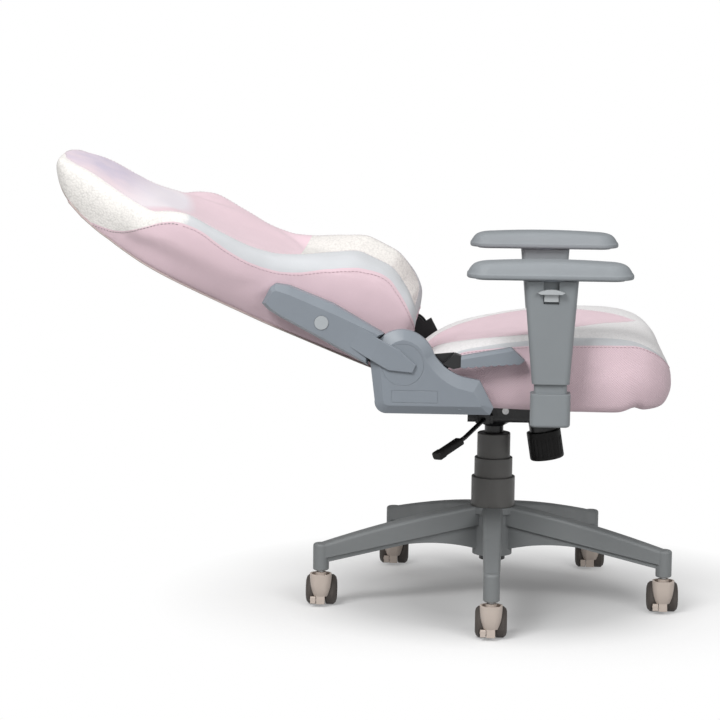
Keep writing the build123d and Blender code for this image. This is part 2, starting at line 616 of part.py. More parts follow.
# the left plate carries no release, so it has a small round head with a stop tab
with BuildPart() as recliner_bracket_left:
    with BuildSketch(Plane.XZ.offset(-BRACKET_INNER)):
        with Locations((HINGE_X, HINGE_Z)):
            Circle(27)
            Polygon((0, 0), (23, 14), (36, 22), (49, -3), (0, -30), align=None)
        with BuildLine():
            Polyline(
                (HINGE_X - 27, HINGE_Z),
                (HINGE_X, HINGE_Z),
                (HINGE_X + 49, HINGE_Z - 3),
                (-42, FOOT + 18),
                (-42, FOOT),
                (-196, FOOT),
                (-196, FOOT + 18),
                close=True,
            )
        make_face()
    extrude(amount=BRACKET_INNER - BRACKET_OUTER)
    with Locations((-140, (BRACKET_INNER + FRAME_HALF_WIDTH - 13) / 2, FOOT)):
        Box(96, BRACKET_INNER - FRAME_HALF_WIDTH + 15, 6, align=UP)
    with Locations((HINGE_X, BRACKET_INNER, HINGE_Z)):
        Cylinder(6.03, 40, rotation=(90, 0, 0), mode=Mode.SUBTRACT)
finish(recliner_bracket_left, "recliner_bracket_left")

DISC_RADIUS = 32
LEFT_DISC_RADIUS = 25
with BuildPart() as recliner_discs:
    for side in (1, -1):
        with BuildSketch(Plane.XZ.offset(side * BRACKET_OUTER)):
            with Locations((HINGE_X, HINGE_Z)):
                Circle(DISC_RADIUS if side > 0 else LEFT_DISC_RADIUS)
        extrude(amount=side * (DISC_OUTER - BRACKET_OUTER))
        with BuildSketch(Plane.XZ.offset(side * (BRACKET_INNER + 0.5))):
            with Locations((HINGE_X, HINGE_Z)):
                Circle(6)
        extrude(amount=side * 28.5)
finish(recliner_discs, "recliner_discs")


def side_face(depth, corners, arcs):
    """Closed side outline at a depth: straight runs, with an arc wherever a middle is given."""
    with BuildSketch(hinge_plane(depth)) as outline:
        with BuildLine():
            for start, end in zip(corners, corners[1:] + corners[:1]):
                if (start, end) in arcs:
                    ThreePointArc(start, arcs[(start, end)], end)
                else:
                    Line(start, end)
        make_face()
    return outline.sketch


# Fixed hinge cover: upright rim, then a bevel in to the face, hollow behind, with screw bosses
EDGE = [
    (-55, -8), (-48, -64), (-29, -87), (150, -87), (156, -75),
    (132, -28), (102, -22), (53, 16), (0, 58),
]
EDGE_ARCS = {
    (EDGE[1], EDGE[2]): (-44, -79),
    (EDGE[6], EDGE[7]): (74, -7),
    (EDGE[7], EDGE[8]): (29, 48),
    (EDGE[8], EDGE[0]): (-41, 41),
}
FACE = [
    (-38, -8), (-33, -61), (-22, -72), (134, -72), (136, -69),
    (121, -47), (96, -41), (39, 9), (0, 41),
]
FACE_ARCS = {
    (FACE[1], FACE[2]): (-30.5, -68.5),
    (FACE[6], FACE[7]): (64, -22),
    (FACE[7], FACE[8]): (23, 33),
    (FACE[8], FACE[0]): (-28, 26),
}
BEVEL = 10
with BuildPart() as hinge_cover_right:
    extrude(to_extrude=side_face(COVER_RIM, EDGE, EDGE_ARCS), amount=COVER_FACE - BEVEL - COVER_RIM)
    loft(
        sections=[side_face(COVER_FACE - BEVEL, EDGE, EDGE_ARCS), side_face(COVER_FACE, FACE, FACE_ARCS)],
        ruled=True,
    )
    with BuildSketch(hinge_plane(COVER_RIM)):
        add(side_face(COVER_RIM, EDGE, EDGE_ARCS))
        offset(amount=-3)
    extrude(amount=COVER_FACE - BEVEL - COVER_RIM - 1, mode=Mode.SUBTRACT)
    extrude(
        to_extrude=side_face(COVER_RIM, FACE, FACE_ARCS),
        amount=COVER_FACE - COVER_RIM - 3.5,
        mode=Mode.SUBTRACT,
    )
    # bosses that reach in to the bracket
    with BuildSketch(hinge_plane(BRACKET_OUTER)):
        with Locations((-20, -64), (98, -72)):
            Circle(6)
    extrude(amount=COVER_FACE - BRACKET_OUTER - 3)
    # engraved ring round the hinge and engraved panel below it
    with BuildSketch(hinge_plane(COVER_FACE - 0.4)):
        with Locations((0, -2)):
            Circle(36.6)
            Circle(35.4, mode=Mode.SUBTRACT)
        with Locations((21, -56.5)):
            RectangleRounded(80, 22, 1.5)
            RectangleRounded(77.8, 19.8, 0.8, mode=Mode.SUBTRACT)
    extrude(amount=2, mode=Mode.SUBTRACT)
finish(hinge_cover_right, "hinge_cover_right")

# the left cover stops below the hinge
with BuildPart() as hinge_cover_left:
    mirror(hinge_cover_right.part, about=Plane.XZ)
    with BuildSketch(hinge_plane(-COVER_RIM + 20)):
        Polygon((-80, -12), (38, -12), (104, -34), (170, -34), (170, 90), (-80, 90), align=None)
    extrude(amount=-80, mode=Mode.SUBTRACT)
finish(hinge_cover_left, "hinge_cover_left")

# Recline lever on the sitter's right: flat arm on the hinge shaft, then a wavy finger grip
LEVER_DEPTH = ARM_PLATE_OUTER + 2.7
GRIP_ROOT = Vector(99, -5)
WAVE = Vector(13, 1.1)
with BuildPart() as recline_lever_arm:
    with BuildSketch(hinge_plane(LEVER_DEPTH)):
        with BuildLine():
            Polyline((0, -9), (70, -10), (98, -6), (98, 14), (86, 18), (0, 9), close=True)
        make_face()
        Circle(14)
    extrude(amount=4)
    with BuildSketch(hinge_plane(LEVER_DEPTH - 1)):
        with BuildLine():
            Polyline((68, -1), (86, -9), (99, -6), (99, 14), (88, 18), (82, 12), close=True)
        make_face()
    extrude(amount=20)
    with Locations((HINGE_X, -LEVER_DEPTH, HINGE_Z)):
        Cylinder(6.08, 40, rotation=(90, 0, 0), mode=Mode.SUBTRACT)
finish(recline_lever_arm, "recline_lever_arm")

with BuildPart() as recline_lever_grip:
    with BuildSketch(hinge_plane(LEVER_DEPTH)):
        with BuildLine():
            Polyline((208, 8), (185, 29), (99, 13), GRIP_ROOT)
            for bump in range(8):
                begin = GRIP_ROOT + WAVE * bump
                end = begin + WAVE
                ThreePointArc(begin, (begin + end) * 0.5 + Vector(0, -2.4), end)
            Line(GRIP_ROOT + WAVE * 8, (208, 8))
        make_face()
    extrude(amount=22)
    chamfer(recline_lever_grip.edges().filter_by(lambda e: e.length > 60).sort_by(Axis.Y)[0], length=5)
finish(recline_lever_grip, "recline_lever_grip")

# Back: tube frame inside the foam, hinge arms outside it, bolts between the two
BACK_BOLT_U = (156, 200)
BACK_BOLT_N = -2
BACK_PLANE = Plane(origin=HINGE, x_dir=(0, -1, 0), z_dir=U_DIR)
FRAME_PLANE = Plane(origin=HINGE + N_DIR * BACK_BOLT_N, x_dir=(0, 1, 0), z_dir=N_DIR)
BACK_TUBE_HALF = BRACKET_INNER - 30


def back_ring():
    """Centre line of the back frame, drawn in its own flat plane (y, u)."""
    with BuildLine(FRAME_PLANE) as ring:
        FilletPolyline(
            (-BACK_TUBE_HALF, 55),
            (-BACK_TUBE_HALF, 300),
            (-BACK_TUBE_HALF - 8, 420),
            (-118, 560),
            (118, 560),
            (BACK_TUBE_HALF + 8, 420),
            (BACK_TUBE_HALF, 300),
            (BACK_TUBE_HALF, 55),
            radius=38,
            close=True,
        )
    return ring.line


def back_ring_section(radius):
    """Round section on the straight left run of the back frame."""
    start = FRAME_PLANE.from_local_coords((BACK_TUBE_HALF, 150))
    with BuildSketch(Plane(origin=start, z_dir=U_DIR)) as section:
        Circle(radius)
    return section.sketch


with BuildPart() as back_frame:
    sweep(sections=back_ring_section(11), path=back_ring())
    with Locations(*[(spot[0], 0, spot[1]) for spot in (on_back(u, BACK_BOLT_N) for u in BACK_BOLT_U)]):
        Cylinder(5.05, 2 * BACK_TUBE_HALF + 60, rotation=(90, 0, 0), mode=Mode.SUBTRACT)
finish(back_frame, "back_frame")

with BuildPart() as back_bolts:
    for side in (1, -1):
        for u in BACK_BOLT_U:
            with BuildSketch(Plane.XZ.offset(side * BACK_TUBE_HALF)):
                with Locations(on_back(u, BACK_BOLT_N)):
                    Circle(5)
            extrude(amount=side * (ARM_PLATE_OUTER - BACK_TUBE_HALF))
            with BuildSketch(Plane.XZ.offset(side * ARM_PLATE_OUTER)):
                with Locations(on_back(u, BACK_BOLT_N)):
                    RegularPolygon(9, 6)
            extrude(amount=side * 6)
finish(back_bolts, "back_bolts")

with BuildPart() as back_hinge_arms:
    for side in (1, -1):
        with BuildSketch(Plane.XZ.offset(side * ARM_PLATE_INNER)):
            with BuildLine():
                CenterArc((HINGE_X, HINGE_Z), 30, 0, 360)
            with BuildLine():
                CenterArc(on_back(208, BACK_BOLT_N), 20, 0, 360)
            make_hull()
            with Locations((HINGE_X, HINGE_Z)):
                Circle(6.08, mode=Mode.SUBTRACT)
            with Locations(*[on_back(u, BACK_BOLT_N) for u in BACK_BOLT_U]):
                Circle(5.05, mode=Mode.SUBTRACT)
        extrude(amount=side * (ARM_PLATE_OUTER - ARM_PLATE_INNER))
finish(back_hinge_arms, "back_hinge_arms")


def back_section(u, foot, half, rear, crest, centre, inset):
    """Cross-section of the back cushion: flat rear, flared side, crest set in by inset, dished middle."""
    shoulder = crest - 0.22 * (crest - rear)
    inner = centre + 0.35 * (crest - centre)
    waist = 0.45 * shoulder + 0.55 * rear
    dish = half - inset - 48
    with BuildSketch(BACK_PLANE.offset(u)) as section:
        with BuildLine():
            Line((foot, rear), (-foot, rear))
            ThreePointArc((-foot, rear), (-0.5 * (foot + half), waist), (-half, shoulder))
            ThreePointArc((-half, shoulder), (inset - half, crest), (-dish, inner))
            ThreePointArc((-dish, inner), (0, centre), (dish, inner))
            ThreePointArc((dish, inner), (half - inset, crest), (half, shoulder))
            ThreePointArc((half, shoulder), (0.5 * (foot + half), waist), (foot, rear))
        make_face()
    return section.sketch


WIDE = SHOULDER_HALF_WIDTH
SLIM = WAIST_HALF_WIDTH
HEAD = HEAD_HALF_WIDTH
INNER = BRACKET_INNER
with BuildPart() as back_cushion:
    loft(
        sections=[
            back_section(8, INNER - 12, INNER - 4, -34, 42, 24, 30),
            back_section(40, INNER - 9, INNER - 3, -40, 92, 36, 44),
            back_section(90, INNER - 8, SLIM - 20, -44, 122, 50, 56),
            back_section(150, INNER - 8, SLIM - 10, -49, 122, 56, 56),
            back_section(215, INNER - 6, SLIM - 8, -54, 90, 52, 46),
            back_section(275, INNER - 2, SLIM - 4, -58, 58, 36, 34),
            back_section(370, WIDE - 34, WIDE - 6, -61, 48, 24, 26),
            back_section(440, WIDE - 30, WIDE, -60, 51, 22, 24),
            back_section(492, WIDE - 44, WIDE - 12, -59, 36, 27, 24),
            back_section(535, HEAD + 20, HEAD + 40, -57, 22, 31, 24),
            back_section(585, HEAD - 8, HEAD + 8, -55, 21, 34, 24),
            back_section(635, HEAD - 16, HEAD - 4, -43, 24, 35, 24),
            back_section(BACK_LENGTH - 22, HEAD - 28, HEAD - 18, -21, 26, 34, 24),
            back_section(BACK_LENGTH, HEAD - 46, HEAD - 38, -2, 18, 23, 24),
        ]
    )
    # channels in the foam for the frame tube and the bolts
    sweep(sections=back_ring_section(11.4), path=back_ring(), mode=Mode.SUBTRACT)
    with Locations(*[(spot[0], 0, spot[1]) for spot in (on_back(u, BACK_BOLT_N) for u in BACK_BOLT_U)]):
        with Locations((0, -BACK_TUBE_HALF - 29, 0), (0, BACK_TUBE_HALF + 29, 0)):
            Cylinder(5.6, 60, rotation=(90, 0, 0), mode=Mode.SUBTRACT)
finish(back_cushion, "back_cushion")

# Moving hinge cover: hollow arm along the back, with a pointed tip over the hinge


def round_hinge(radius, angle):
    """Side view point at a radius and angle from the hinge."""
    return (radius * cos(radians(angle)), radius * sin(radians(angle)))


NEAR, FAR = round_hinge(60.5, 124), round_hinge(60.5, 184)
ARM_EDGE = [
    (-243, 100), (-229, 127), (-220, 133), (-197, 130), (-121, 100),
    NEAR, FAR, (-137, 37), (-211, 76), (-231, 88),
]
ARM_EDGE_ARCS = {(NEAR, FAR): round_hinge(60.5, 154)}
NEAR_IN, FAR_IN = round_hinge(64, 130), round_hinge(64, 178)
ARM_FACE = [
    (-236, 101), (-225, 120), (-219, 123), (-196, 116), (-114, 82),
    NEAR_IN, FAR_IN, (-138, 43), (-209, 80), (-226, 91),
]
ARM_FACE_ARCS = {(NEAR_IN, FAR_IN): round_hinge(64, 154)}
TIP = [
    (-90, 28), (-76, 63), (-41, 43), (-5, 24),
    (23, -1), (17, -15), (-25, -11), (-51, 4),
]
CAP_SPOT = (-140, 69)

# the tip rises on a ramp from the face of the arm to its own level
RAMP_FOOT = Vector(HINGE_X - 83, -BACK_COVER_FACE - 0.1, HINGE_Z + 45)
RAMP_LINE = Vector(14, 0, 35)
RAMP_NORMAL = RAMP_LINE.cross(Vector(38, -4.2, -22))
with BuildPart() as cover_tip:
    extrude(to_extrude=side_face(TIP_INNER, TIP, {}), amount=TIP_OUTER - TIP_INNER)
    chamfer(cover_tip.faces().sort_by(Axis.Y)[0].edges(), length=1.2)
    with BuildSketch(Plane(origin=RAMP_FOOT, x_dir=RAMP_LINE, z_dir=-RAMP_NORMAL)):
        Rectangle(220, 240)
    extrude(amount=12, mode=Mode.SUBTRACT)

with BuildPart() as back_cover_right:
    extrude(
        to_extrude=side_face(BACK_COVER_RIM, ARM_EDGE, ARM_EDGE_ARCS),
        amount=BACK_COVER_FACE - BEVEL - BACK_COVER_RIM,
    )
    loft(
        sections=[
            side_face(BACK_COVER_FACE - BEVEL, ARM_EDGE, ARM_EDGE_ARCS),
            side_face(BACK_COVER_FACE, ARM_FACE, ARM_FACE_ARCS),
        ],
        ruled=True,
    )
    add(cover_tip.part)
    with BuildSketch(hinge_plane(BACK_COVER_RIM)):
        add(side_face(BACK_COVER_RIM, ARM_EDGE, ARM_EDGE_ARCS))
        offset(amount=-3)
    extrude(amount=BACK_COVER_FACE - BEVEL - BACK_COVER_RIM - 1, mode=Mode.SUBTRACT)
    extrude(
        to_extrude=side_face(BACK_COVER_RIM, ARM_FACE, ARM_FACE_ARCS),
        amount=BACK_COVER_FACE - BACK_COVER_RIM - 4,
        mode=Mode.SUBTRACT,
    )
    # boss down to the hinge arm, and the seat of the screw cap
    with BuildSketch(hinge_plane(ARM_PLATE_OUTER)):
        with Locations((-98, 49)):
            Circle(7)
    extrude(amount=BACK_COVER_FACE - ARM_PLATE_OUTER - 3)
    with BuildSketch(hinge_plane(BACK_COVER_FACE - 2)):
        with Locations(CAP_SPOT):
            Circle(12.2)
    extrude(amount=4, mode=Mode.SUBTRACT)
finish(back_cover_right, "back_cover_right")

with BuildPart() as back_cover_left:
    mirror(back_cover_right.part, about=Plane.XZ)
finish(back_cover_left, "back_cover_left")

with BuildPart() as back_cover_caps:
    for side in (1, -1):
        with BuildSketch(Plane.XZ.offset(side * (BACK_COVER_FACE - 2))):
            with Locations((HINGE_X + CAP_SPOT[0], HINGE_Z + CAP_SPOT[1])):
                Circle(12)
        extrude(amount=side * 3.4)
finish(back_cover_caps, "back_cover_caps")

# Armrests, drawn for the sitter's right and mirrored
PLATE_HALF = 32
RAIL_WIDTH = 20
STEEL = FRAME_Z - FRAME_TUBE_RADIUS - 5
with BuildPart() as armrest_bracket_right:
    with Locations((ARMREST_X, -(FRAME_HALF_WIDTH - 35 + ARMREST_Y + 8) / 2, STEEL)):
        Box(48, ARMREST_Y + 43 - FRAME_HALF_WIDTH, 5, align=UP)
    with Locations((ARMREST_X, -ARMREST_Y - 5.5, STEEL)):
        Box(48, 5, 38, align=UP)

with BuildPart() as armrest_brackets:
    add(armrest_bracket_right.part)
    mirror(armrest_bracket_right.part, about=Plane.XZ)
finish(armrest_brackets, "armrest_brackets")

with BuildPart() as armrest_post_right:
    with BuildSketch(Plane.XY.offset(HOUSING_BOTTOM)):
        with Locations((ARMREST_X, -ARMREST_Y)):
            RectangleRounded(68, 46, 11)
    extrude(amount=HOUSING_TOP - HOUSING_BOTTOM)
    fillet(armrest_post_right.edges().group_by(Axis.Z)[0], radius=5)
    fillet(armrest_post_right.edges().group_by(Axis.Z)[-1], radius=1.5)
    with BuildSketch(Plane.XY.offset(HOUSING_TOP - 5)):
        with Locations((ARMREST_X, -ARMREST_Y)):
            RectangleRounded(POST_WIDTH, POST_DEPTH, 8)
    extrude(amount=POST_TOP - HOUSING_TOP + 5)
    # slot for the steel bracket
    with Locations((ARMREST_X, -ARMREST_Y + 7.7, STEEL - 0.3)):
        Box(48.6, 32, 5.6, align=UP, mode=Mode.SUBTRACT)
    with Locations((ARMREST_X, -ARMREST_Y - 5.5, STEEL - 0.3)):
        Box(48.6, 5.6, 38.6, align=UP, mode=Mode.SUBTRACT)
finish(armrest_post_right, "armrest_post_right")

with BuildPart() as armrest_sleeve_right:
    with BuildSketch(Plane.XY.offset(SLEEVE_BOTTOM)):
        with Locations((ARMREST_X, -ARMREST_Y)):
            RectangleRounded(64, 45, 11)
    with BuildSketch(Plane.XY.offset(SLEEVE_TOP)):
        with Locations((ARMREST_X - 2, -ARMREST_Y)):
            RectangleRounded(92, 53, 11)
    loft(ruled=True)
    with BuildSketch(Plane.XY.offset(SLEEVE_BOTTOM - 1)):
        with Locations((ARMREST_X, -ARMREST_Y)):
            RectangleRounded(POST_WIDTH + 0.8, POST_DEPTH + 0.8, 8.4)
    extrude(amount=SLEEVE_TOP - SLEEVE_BOTTOM - 15, mode=Mode.SUBTRACT)
    with Locations((ARMREST_X, -ARMREST_Y, SLEEVE_TOP - 8)):
        Box(120, RAIL_WIDTH + 0.8, 20, align=UP, mode=Mode.SUBTRACT)
    # window of the height button, open to the top
    with Locations((ARMREST_X - 2, -ARMREST_Y - 29, SLEEVE_TOP - 38.5)):
        Box(26, 19, 60, align=UP, mode=Mode.SUBTRACT)
finish(armrest_sleeve_right, "armrest_sleeve_right")

with BuildPart() as armrest_button_right:
    with Locations((ARMREST_X - 2, -ARMREST_Y - 25, SLEEVE_TOP - 34)):
        Box(24, 10, 14, align=UP)
    with BuildSketch(Plane((ARMREST_X, -ARMREST_Y - 27, SLEEVE_TOP), x_dir=(1, 0, 0), z_dir=(0, -1, 0))):
        with BuildLine():
            ThreePointArc((-25, -18.5), (-2, -13), (21, -18.5))
            Polyline((21, -18.5), (16, -21.2), (-20, -21.2), (-25, -18.5))
        make_face()
    extrude(amount=10)
    with Locations((ARMREST_X - 2, -ARMREST_Y - 25, SLEEVE_TOP - 21)):
        Box(14, 9, 7, align=UP)
finish(armrest_button_right, "armrest_button_right")

with BuildPart() as armrest_slider_right:
    with Locations((ARMREST_X - 2, -ARMREST_Y, SLEEVE_TOP + 0.4)):
        Cylinder(PLATE_HALF, 6.6, align=UP)
    with Locations((ARMREST_X - 12, -ARMREST_Y, SLEEVE_TOP - 7.6)):
        Box(44, RAIL_WIDTH, 8.2, align=UP)
finish(armrest_slider_right, "armrest_slider_right")

with BuildPart() as armrest_pad_right:
    with BuildSketch(Plane.XY.offset(PAD_BOTTOM)):
        with Locations((ARMREST_X - 4, -ARMREST_Y)):
            RectangleRounded(PAD_LENGTH, PAD_WIDTH, 34)
    extrude(amount=PAD_RIM)
    extrude(
        to_extrude=armrest_pad_right.faces().sort_by(Axis.Z)[-1],
        amount=PAD_TOP - PAD_BOTTOM - PAD_RIM,
        taper=PAD_SLOPE,
    )
    fillet(armrest_pad_right.edges().group_by(Axis.Z)[-1], radius=7)
    fillet(armrest_pad_right.edges().group_by(Axis.Z)[0], radius=5)
    with BuildSketch(Plane.XY.offset(SLEEVE_TOP + 1)):
        with Locations((ARMREST_X - 2, -ARMREST_Y)):
            RectangleRounded(136, PAD_WIDTH - 26, 16)
    extrude(amount=PAD_BOTTOM - SLEEVE_TOP + 2)
    with Locations((ARMREST_X - 2, -ARMREST_Y, PAD_BOTTOM - 5)):
        Cylinder(PLATE_HALF + 0.4, SLEEVE_TOP + 7.4 - PAD_BOTTOM + 5, align=UP, mode=Mode.SUBTRACT)
finish(armrest_pad_right, "armrest_pad_right")

for name, right in (
    ("armrest_post", armrest_post_right),
    ("armrest_sleeve", armrest_sleeve_right),
    ("armrest_button", armrest_button_right),
    ("armrest_slider", armrest_slider_right),
    ("armrest_pad", armrest_pad_right),
):
    with BuildPart() as left:
        mirror(right.part, about=Plane.XZ)
    finish(left, f"{name}_left")
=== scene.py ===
"""Looks of a reclining bucket-seat chair: upholstery, seams, stitches, materials, light and camera.

Metres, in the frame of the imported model: +X is the way the sitter faces, +Z is up.
"""
import json
from math import cos, pi, radians, sin

import bmesh
import bpy
import numpy as np
from mathutils import Matrix, Vector

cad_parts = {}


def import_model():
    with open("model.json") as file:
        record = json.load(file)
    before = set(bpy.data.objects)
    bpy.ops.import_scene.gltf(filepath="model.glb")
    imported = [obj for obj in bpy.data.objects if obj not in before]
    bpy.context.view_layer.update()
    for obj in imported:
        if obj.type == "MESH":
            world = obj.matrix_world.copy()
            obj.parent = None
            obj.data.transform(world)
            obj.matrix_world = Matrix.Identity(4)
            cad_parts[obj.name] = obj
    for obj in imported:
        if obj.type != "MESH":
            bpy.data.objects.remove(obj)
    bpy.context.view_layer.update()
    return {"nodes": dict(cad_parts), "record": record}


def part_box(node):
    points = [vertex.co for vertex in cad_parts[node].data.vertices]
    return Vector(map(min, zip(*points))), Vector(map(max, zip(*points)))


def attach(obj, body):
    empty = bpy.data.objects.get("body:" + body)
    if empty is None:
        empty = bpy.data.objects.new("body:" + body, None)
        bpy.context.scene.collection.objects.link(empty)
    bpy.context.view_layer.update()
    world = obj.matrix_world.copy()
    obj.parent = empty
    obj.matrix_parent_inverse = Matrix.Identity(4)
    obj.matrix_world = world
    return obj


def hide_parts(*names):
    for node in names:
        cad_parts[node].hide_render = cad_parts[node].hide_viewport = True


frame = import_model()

MM = 0.001

# Camera, placed to match the viewing angle
CAMERA_PLACE = Vector((-0.0077, -4.6561, 1.078))
CAMERA_YAW = radians(-2.9168)
CAMERA_PITCH = radians(-7.855)
CAMERA_ROLL = radians(0.586)
CAMERA_LENS = 129.7

# Back axes: u runs up the spine from the recline hinge, n points out of the front of the back
HINGE = np.array((-158, 0, 466)) * MM
BACK_ANGLE = radians(63)
U_DIR = np.array((-sin(BACK_ANGLE), 0, cos(BACK_ANGLE)))
N_DIR = np.array((cos(BACK_ANGLE), 0, sin(BACK_ANGLE)))

# Underside and rear of the seat, in millimetres
SEAT_BOTTOM = 381.5
SEAT_REAR = -188


# Curves and padded shells


def hermite(start, end, leave, arrive, t):
    """Cubic from start to end with the given end slopes."""
    return (
        (2 * t**3 - 3 * t**2 + 1) * start
        + (t**3 - 2 * t**2 + t) * leave
        + (3 * t**2 - 2 * t**3) * end
        + (t**3 - t**2) * arrive
    )


def gentle(grade):
    """Slopes at the inner knots that never overshoot, from the grades on each side."""
    before, after = grade[:-1], grade[1:]
    same = before * after > 0
    return np.where(same, 2 * before * after / np.where(same, before + after, 1), 0)


def along(*knots):
    """Smooth function through (place, value) knots, level beyond the ends."""
    xs, ys = np.array(knots, float).T
    run = np.diff(xs)
    grade = np.diff(ys) / run
    slope = np.concatenate((grade[:1], gentle(grade), grade[-1:]))

    def value(x):
        x = np.clip(np.asarray(x, float), xs[0], xs[-1])
        k = np.clip(np.searchsorted(xs, x, side="right") - 1, 0, len(run) - 1)
        return hermite(ys[k], ys[k + 1], slope[k] * run[k], slope[k + 1] * run[k], (x - xs[k]) / run[k])

    return value


def profile(stops, s):
    """Points at stop numbers s on smooth lines through stops: one line a row, stops x 3."""
    lines = np.moveaxis(stops, 1, 0)
    run = np.linalg.norm(np.diff(lines, axis=0), axis=2, keepdims=True) + 1e-9
    grade = np.diff(lines, axis=0) / run
    slope = np.concatenate((grade[:1], gentle(grade), grade[-1:]))
    k = np.clip(np.floor(s).astype(int), 0, len(run) - 1)
    row = np.arange(stops.shape[0])[:, None]
    step = run[k, row]
    leave, arrive = slope[k, row] * step, slope[k + 1, row] * step
    return hermite(lines[k, row], lines[k + 1, row], leave, arrive, (s - k)[..., None])


def half_outline(points, count):
    """Closed plan outline of 2 x count even points, from the (length, width) points of one half."""
    flip = np.array((1, -1))
    pts = np.array(points, float)
    pts = np.vstack((pts[1:2] * flip, pts, pts[-2:-1] * flip))
    run = np.linalg.norm(np.diff(pts, axis=0), axis=1, keepdims=True)
    grade = np.diff(pts, axis=0) / run
    slope = (grade[:-1] * run[1:] + grade[1:] * run[:-1]) / (run[:-1] + run[1:])
    t = np.linspace(0, 1, 40, endpoint=False)[:, None]
    spans = zip(pts[1:], pts[2:], slope, slope[1:], run[1:])
    curves = [hermite(p, q, a * step, b * step, t) for p, q, a, b, step in spans]
    dense = np.vstack(curves + [pts[-2:-1]])
    walk = np.concatenate(([0], np.cumsum(np.linalg.norm(np.diff(dense, axis=0), axis=1))))
    even = np.linspace(0, walk[-1], count + 1)
    half = np.stack([np.interp(even, walk, dense[:, i]) for i in (0, 1)], 1)
    return np.vstack((half, half[-2:0:-1] * flip))


def inward(edge, spine, q):
    """Plan points a distance q in from the outline, towards the spine."""
    reach = spine - edge
    size = np.linalg.norm(reach, axis=1, keepdims=True) + 1e-9
    return edge + reach / size * np.minimum(np.reshape(q, (-1, 1)), size)


def spread(seams, counts):
    """Stop numbers of every ring: even steps between one seam line and the next."""
    rows = [
        start[:, None] + (end - start)[:, None] * np.linspace(0, 1, steps, endpoint=False)
        for start, end, steps in zip(seams, seams[1:], counts)
    ]
    return np.hstack(rows + [seams[-1][:, None]])


def walked(points, axis):
    """Distance walked along an axis of a grid of points."""
    steps = np.linalg.norm(np.diff(points, axis=axis), axis=-1)
    return np.concatenate((np.zeros_like(np.take(steps, [0], axis)), np.cumsum(steps, axis)), axis)


def shell(name, grid, plan, materials, counts):
    """Closed mesh from a grid of points (loop x ring), one material between each pair of seams."""
    loops, rings = grid.shape[:2]
    middle = counts[0] + counts[1] // 2
    round_edge = walked(grid[:, middle : middle + 1], 0) + 0 * grid[..., 0]
    weave = np.stack((round_edge, walked(grid, 1), 0 * round_edge), -1)
    mesh = bmesh.new()
    ring_layer = mesh.verts.layers.float.new("ring")
    turn_layer = mesh.verts.layers.float.new("turn")
    weave_layer = mesh.verts.layers.float_vector.new("weave")
    plan_layer = mesh.verts.layers.float_vector.new("plan")
    verts = []
    for i in range(loops):
        for j in range(rings):
            vert = mesh.verts.new(grid[i, j] * MM)
            vert[ring_layer] = j
            vert[turn_layer] = i
            vert[weave_layer] = weave[i, j] * MM
            vert[plan_layer] = plan[i, j] * MM
            verts.append(vert)
    zone = np.repeat(np.arange(len(counts)), counts)
    for i in range(loops):
        ahead = (i + 1) % loops
        for j in range(rings - 1):
            corners = [verts[a * rings + b] for a, b in ((i, j), (ahead, j), (ahead, j + 1), (i, j + 1))]
            face = mesh.faces.new(corners)
            face.material_index = int(zone[j])
            face.smooth = True
    bmesh.ops.remove_doubles(mesh, verts=mesh.verts, dist=0.2 * MM)
    bmesh.ops.dissolve_degenerate(mesh, edges=mesh.edges, dist=0.05 * MM)
    bmesh.ops.recalc_face_normals(mesh, faces=mesh.faces)
    data = bpy.data.meshes.new(name)
    mesh.to_mesh(data)
    mesh.free()
    for material in materials:
        data.materials.append(material)
    piece = bpy.data.objects.new(name, data)
    bpy.context.scene.collection.objects.link(piece)
    return piece


SAME_RING = 0.01


def held(piece, rings, below=None):
    """How firmly each vertex is held as a cover is blown up: seams fully, and all below one if asked."""
    ring = read(piece, "ring")
    hold = sum((np.abs(ring - seam) < SAME_RING).astype(float) for seam in rings.values())
    return np.where(ring < rings[below] + SAME_RING, 1, hold) if below else hold


def read(piece, layer, width=1):
    """A vertex layer of a piece as an array."""
    values = np.zeros(len(piece.data.vertices) * width, np.float32)
    key = {1: "value", 3: "vector"}[width]
    piece.data.attributes[layer].data.foreach_get(key, values)
    return values.reshape(-1, width) if width > 1 else values


def places(piece):
    """Vertex places of a piece."""
    co = np.zeros(len(piece.data.vertices) * 3, np.float32)
    piece.data.vertices.foreach_get("co", co)
    return co.reshape(-1, 3).astype(float)


def normals(piece):
    """Vertex normals of a piece."""
    piece.data.update()
    no = np.zeros(len(piece.data.vertices) * 3, np.float32)
    piece.data.vertices.foreach_get("normal", no)
    return no.reshape(-1, 3).astype(float)


def set_places(piece, co):
    """Move the vertices of a piece."""
    piece.data.vertices.foreach_set("co", co.astype(np.float32).ravel())
    piece.data.update()


PUFF_PRESSURE = 4
PUFF_CAP = 6 * MM
PUFF_FRAMES = 20


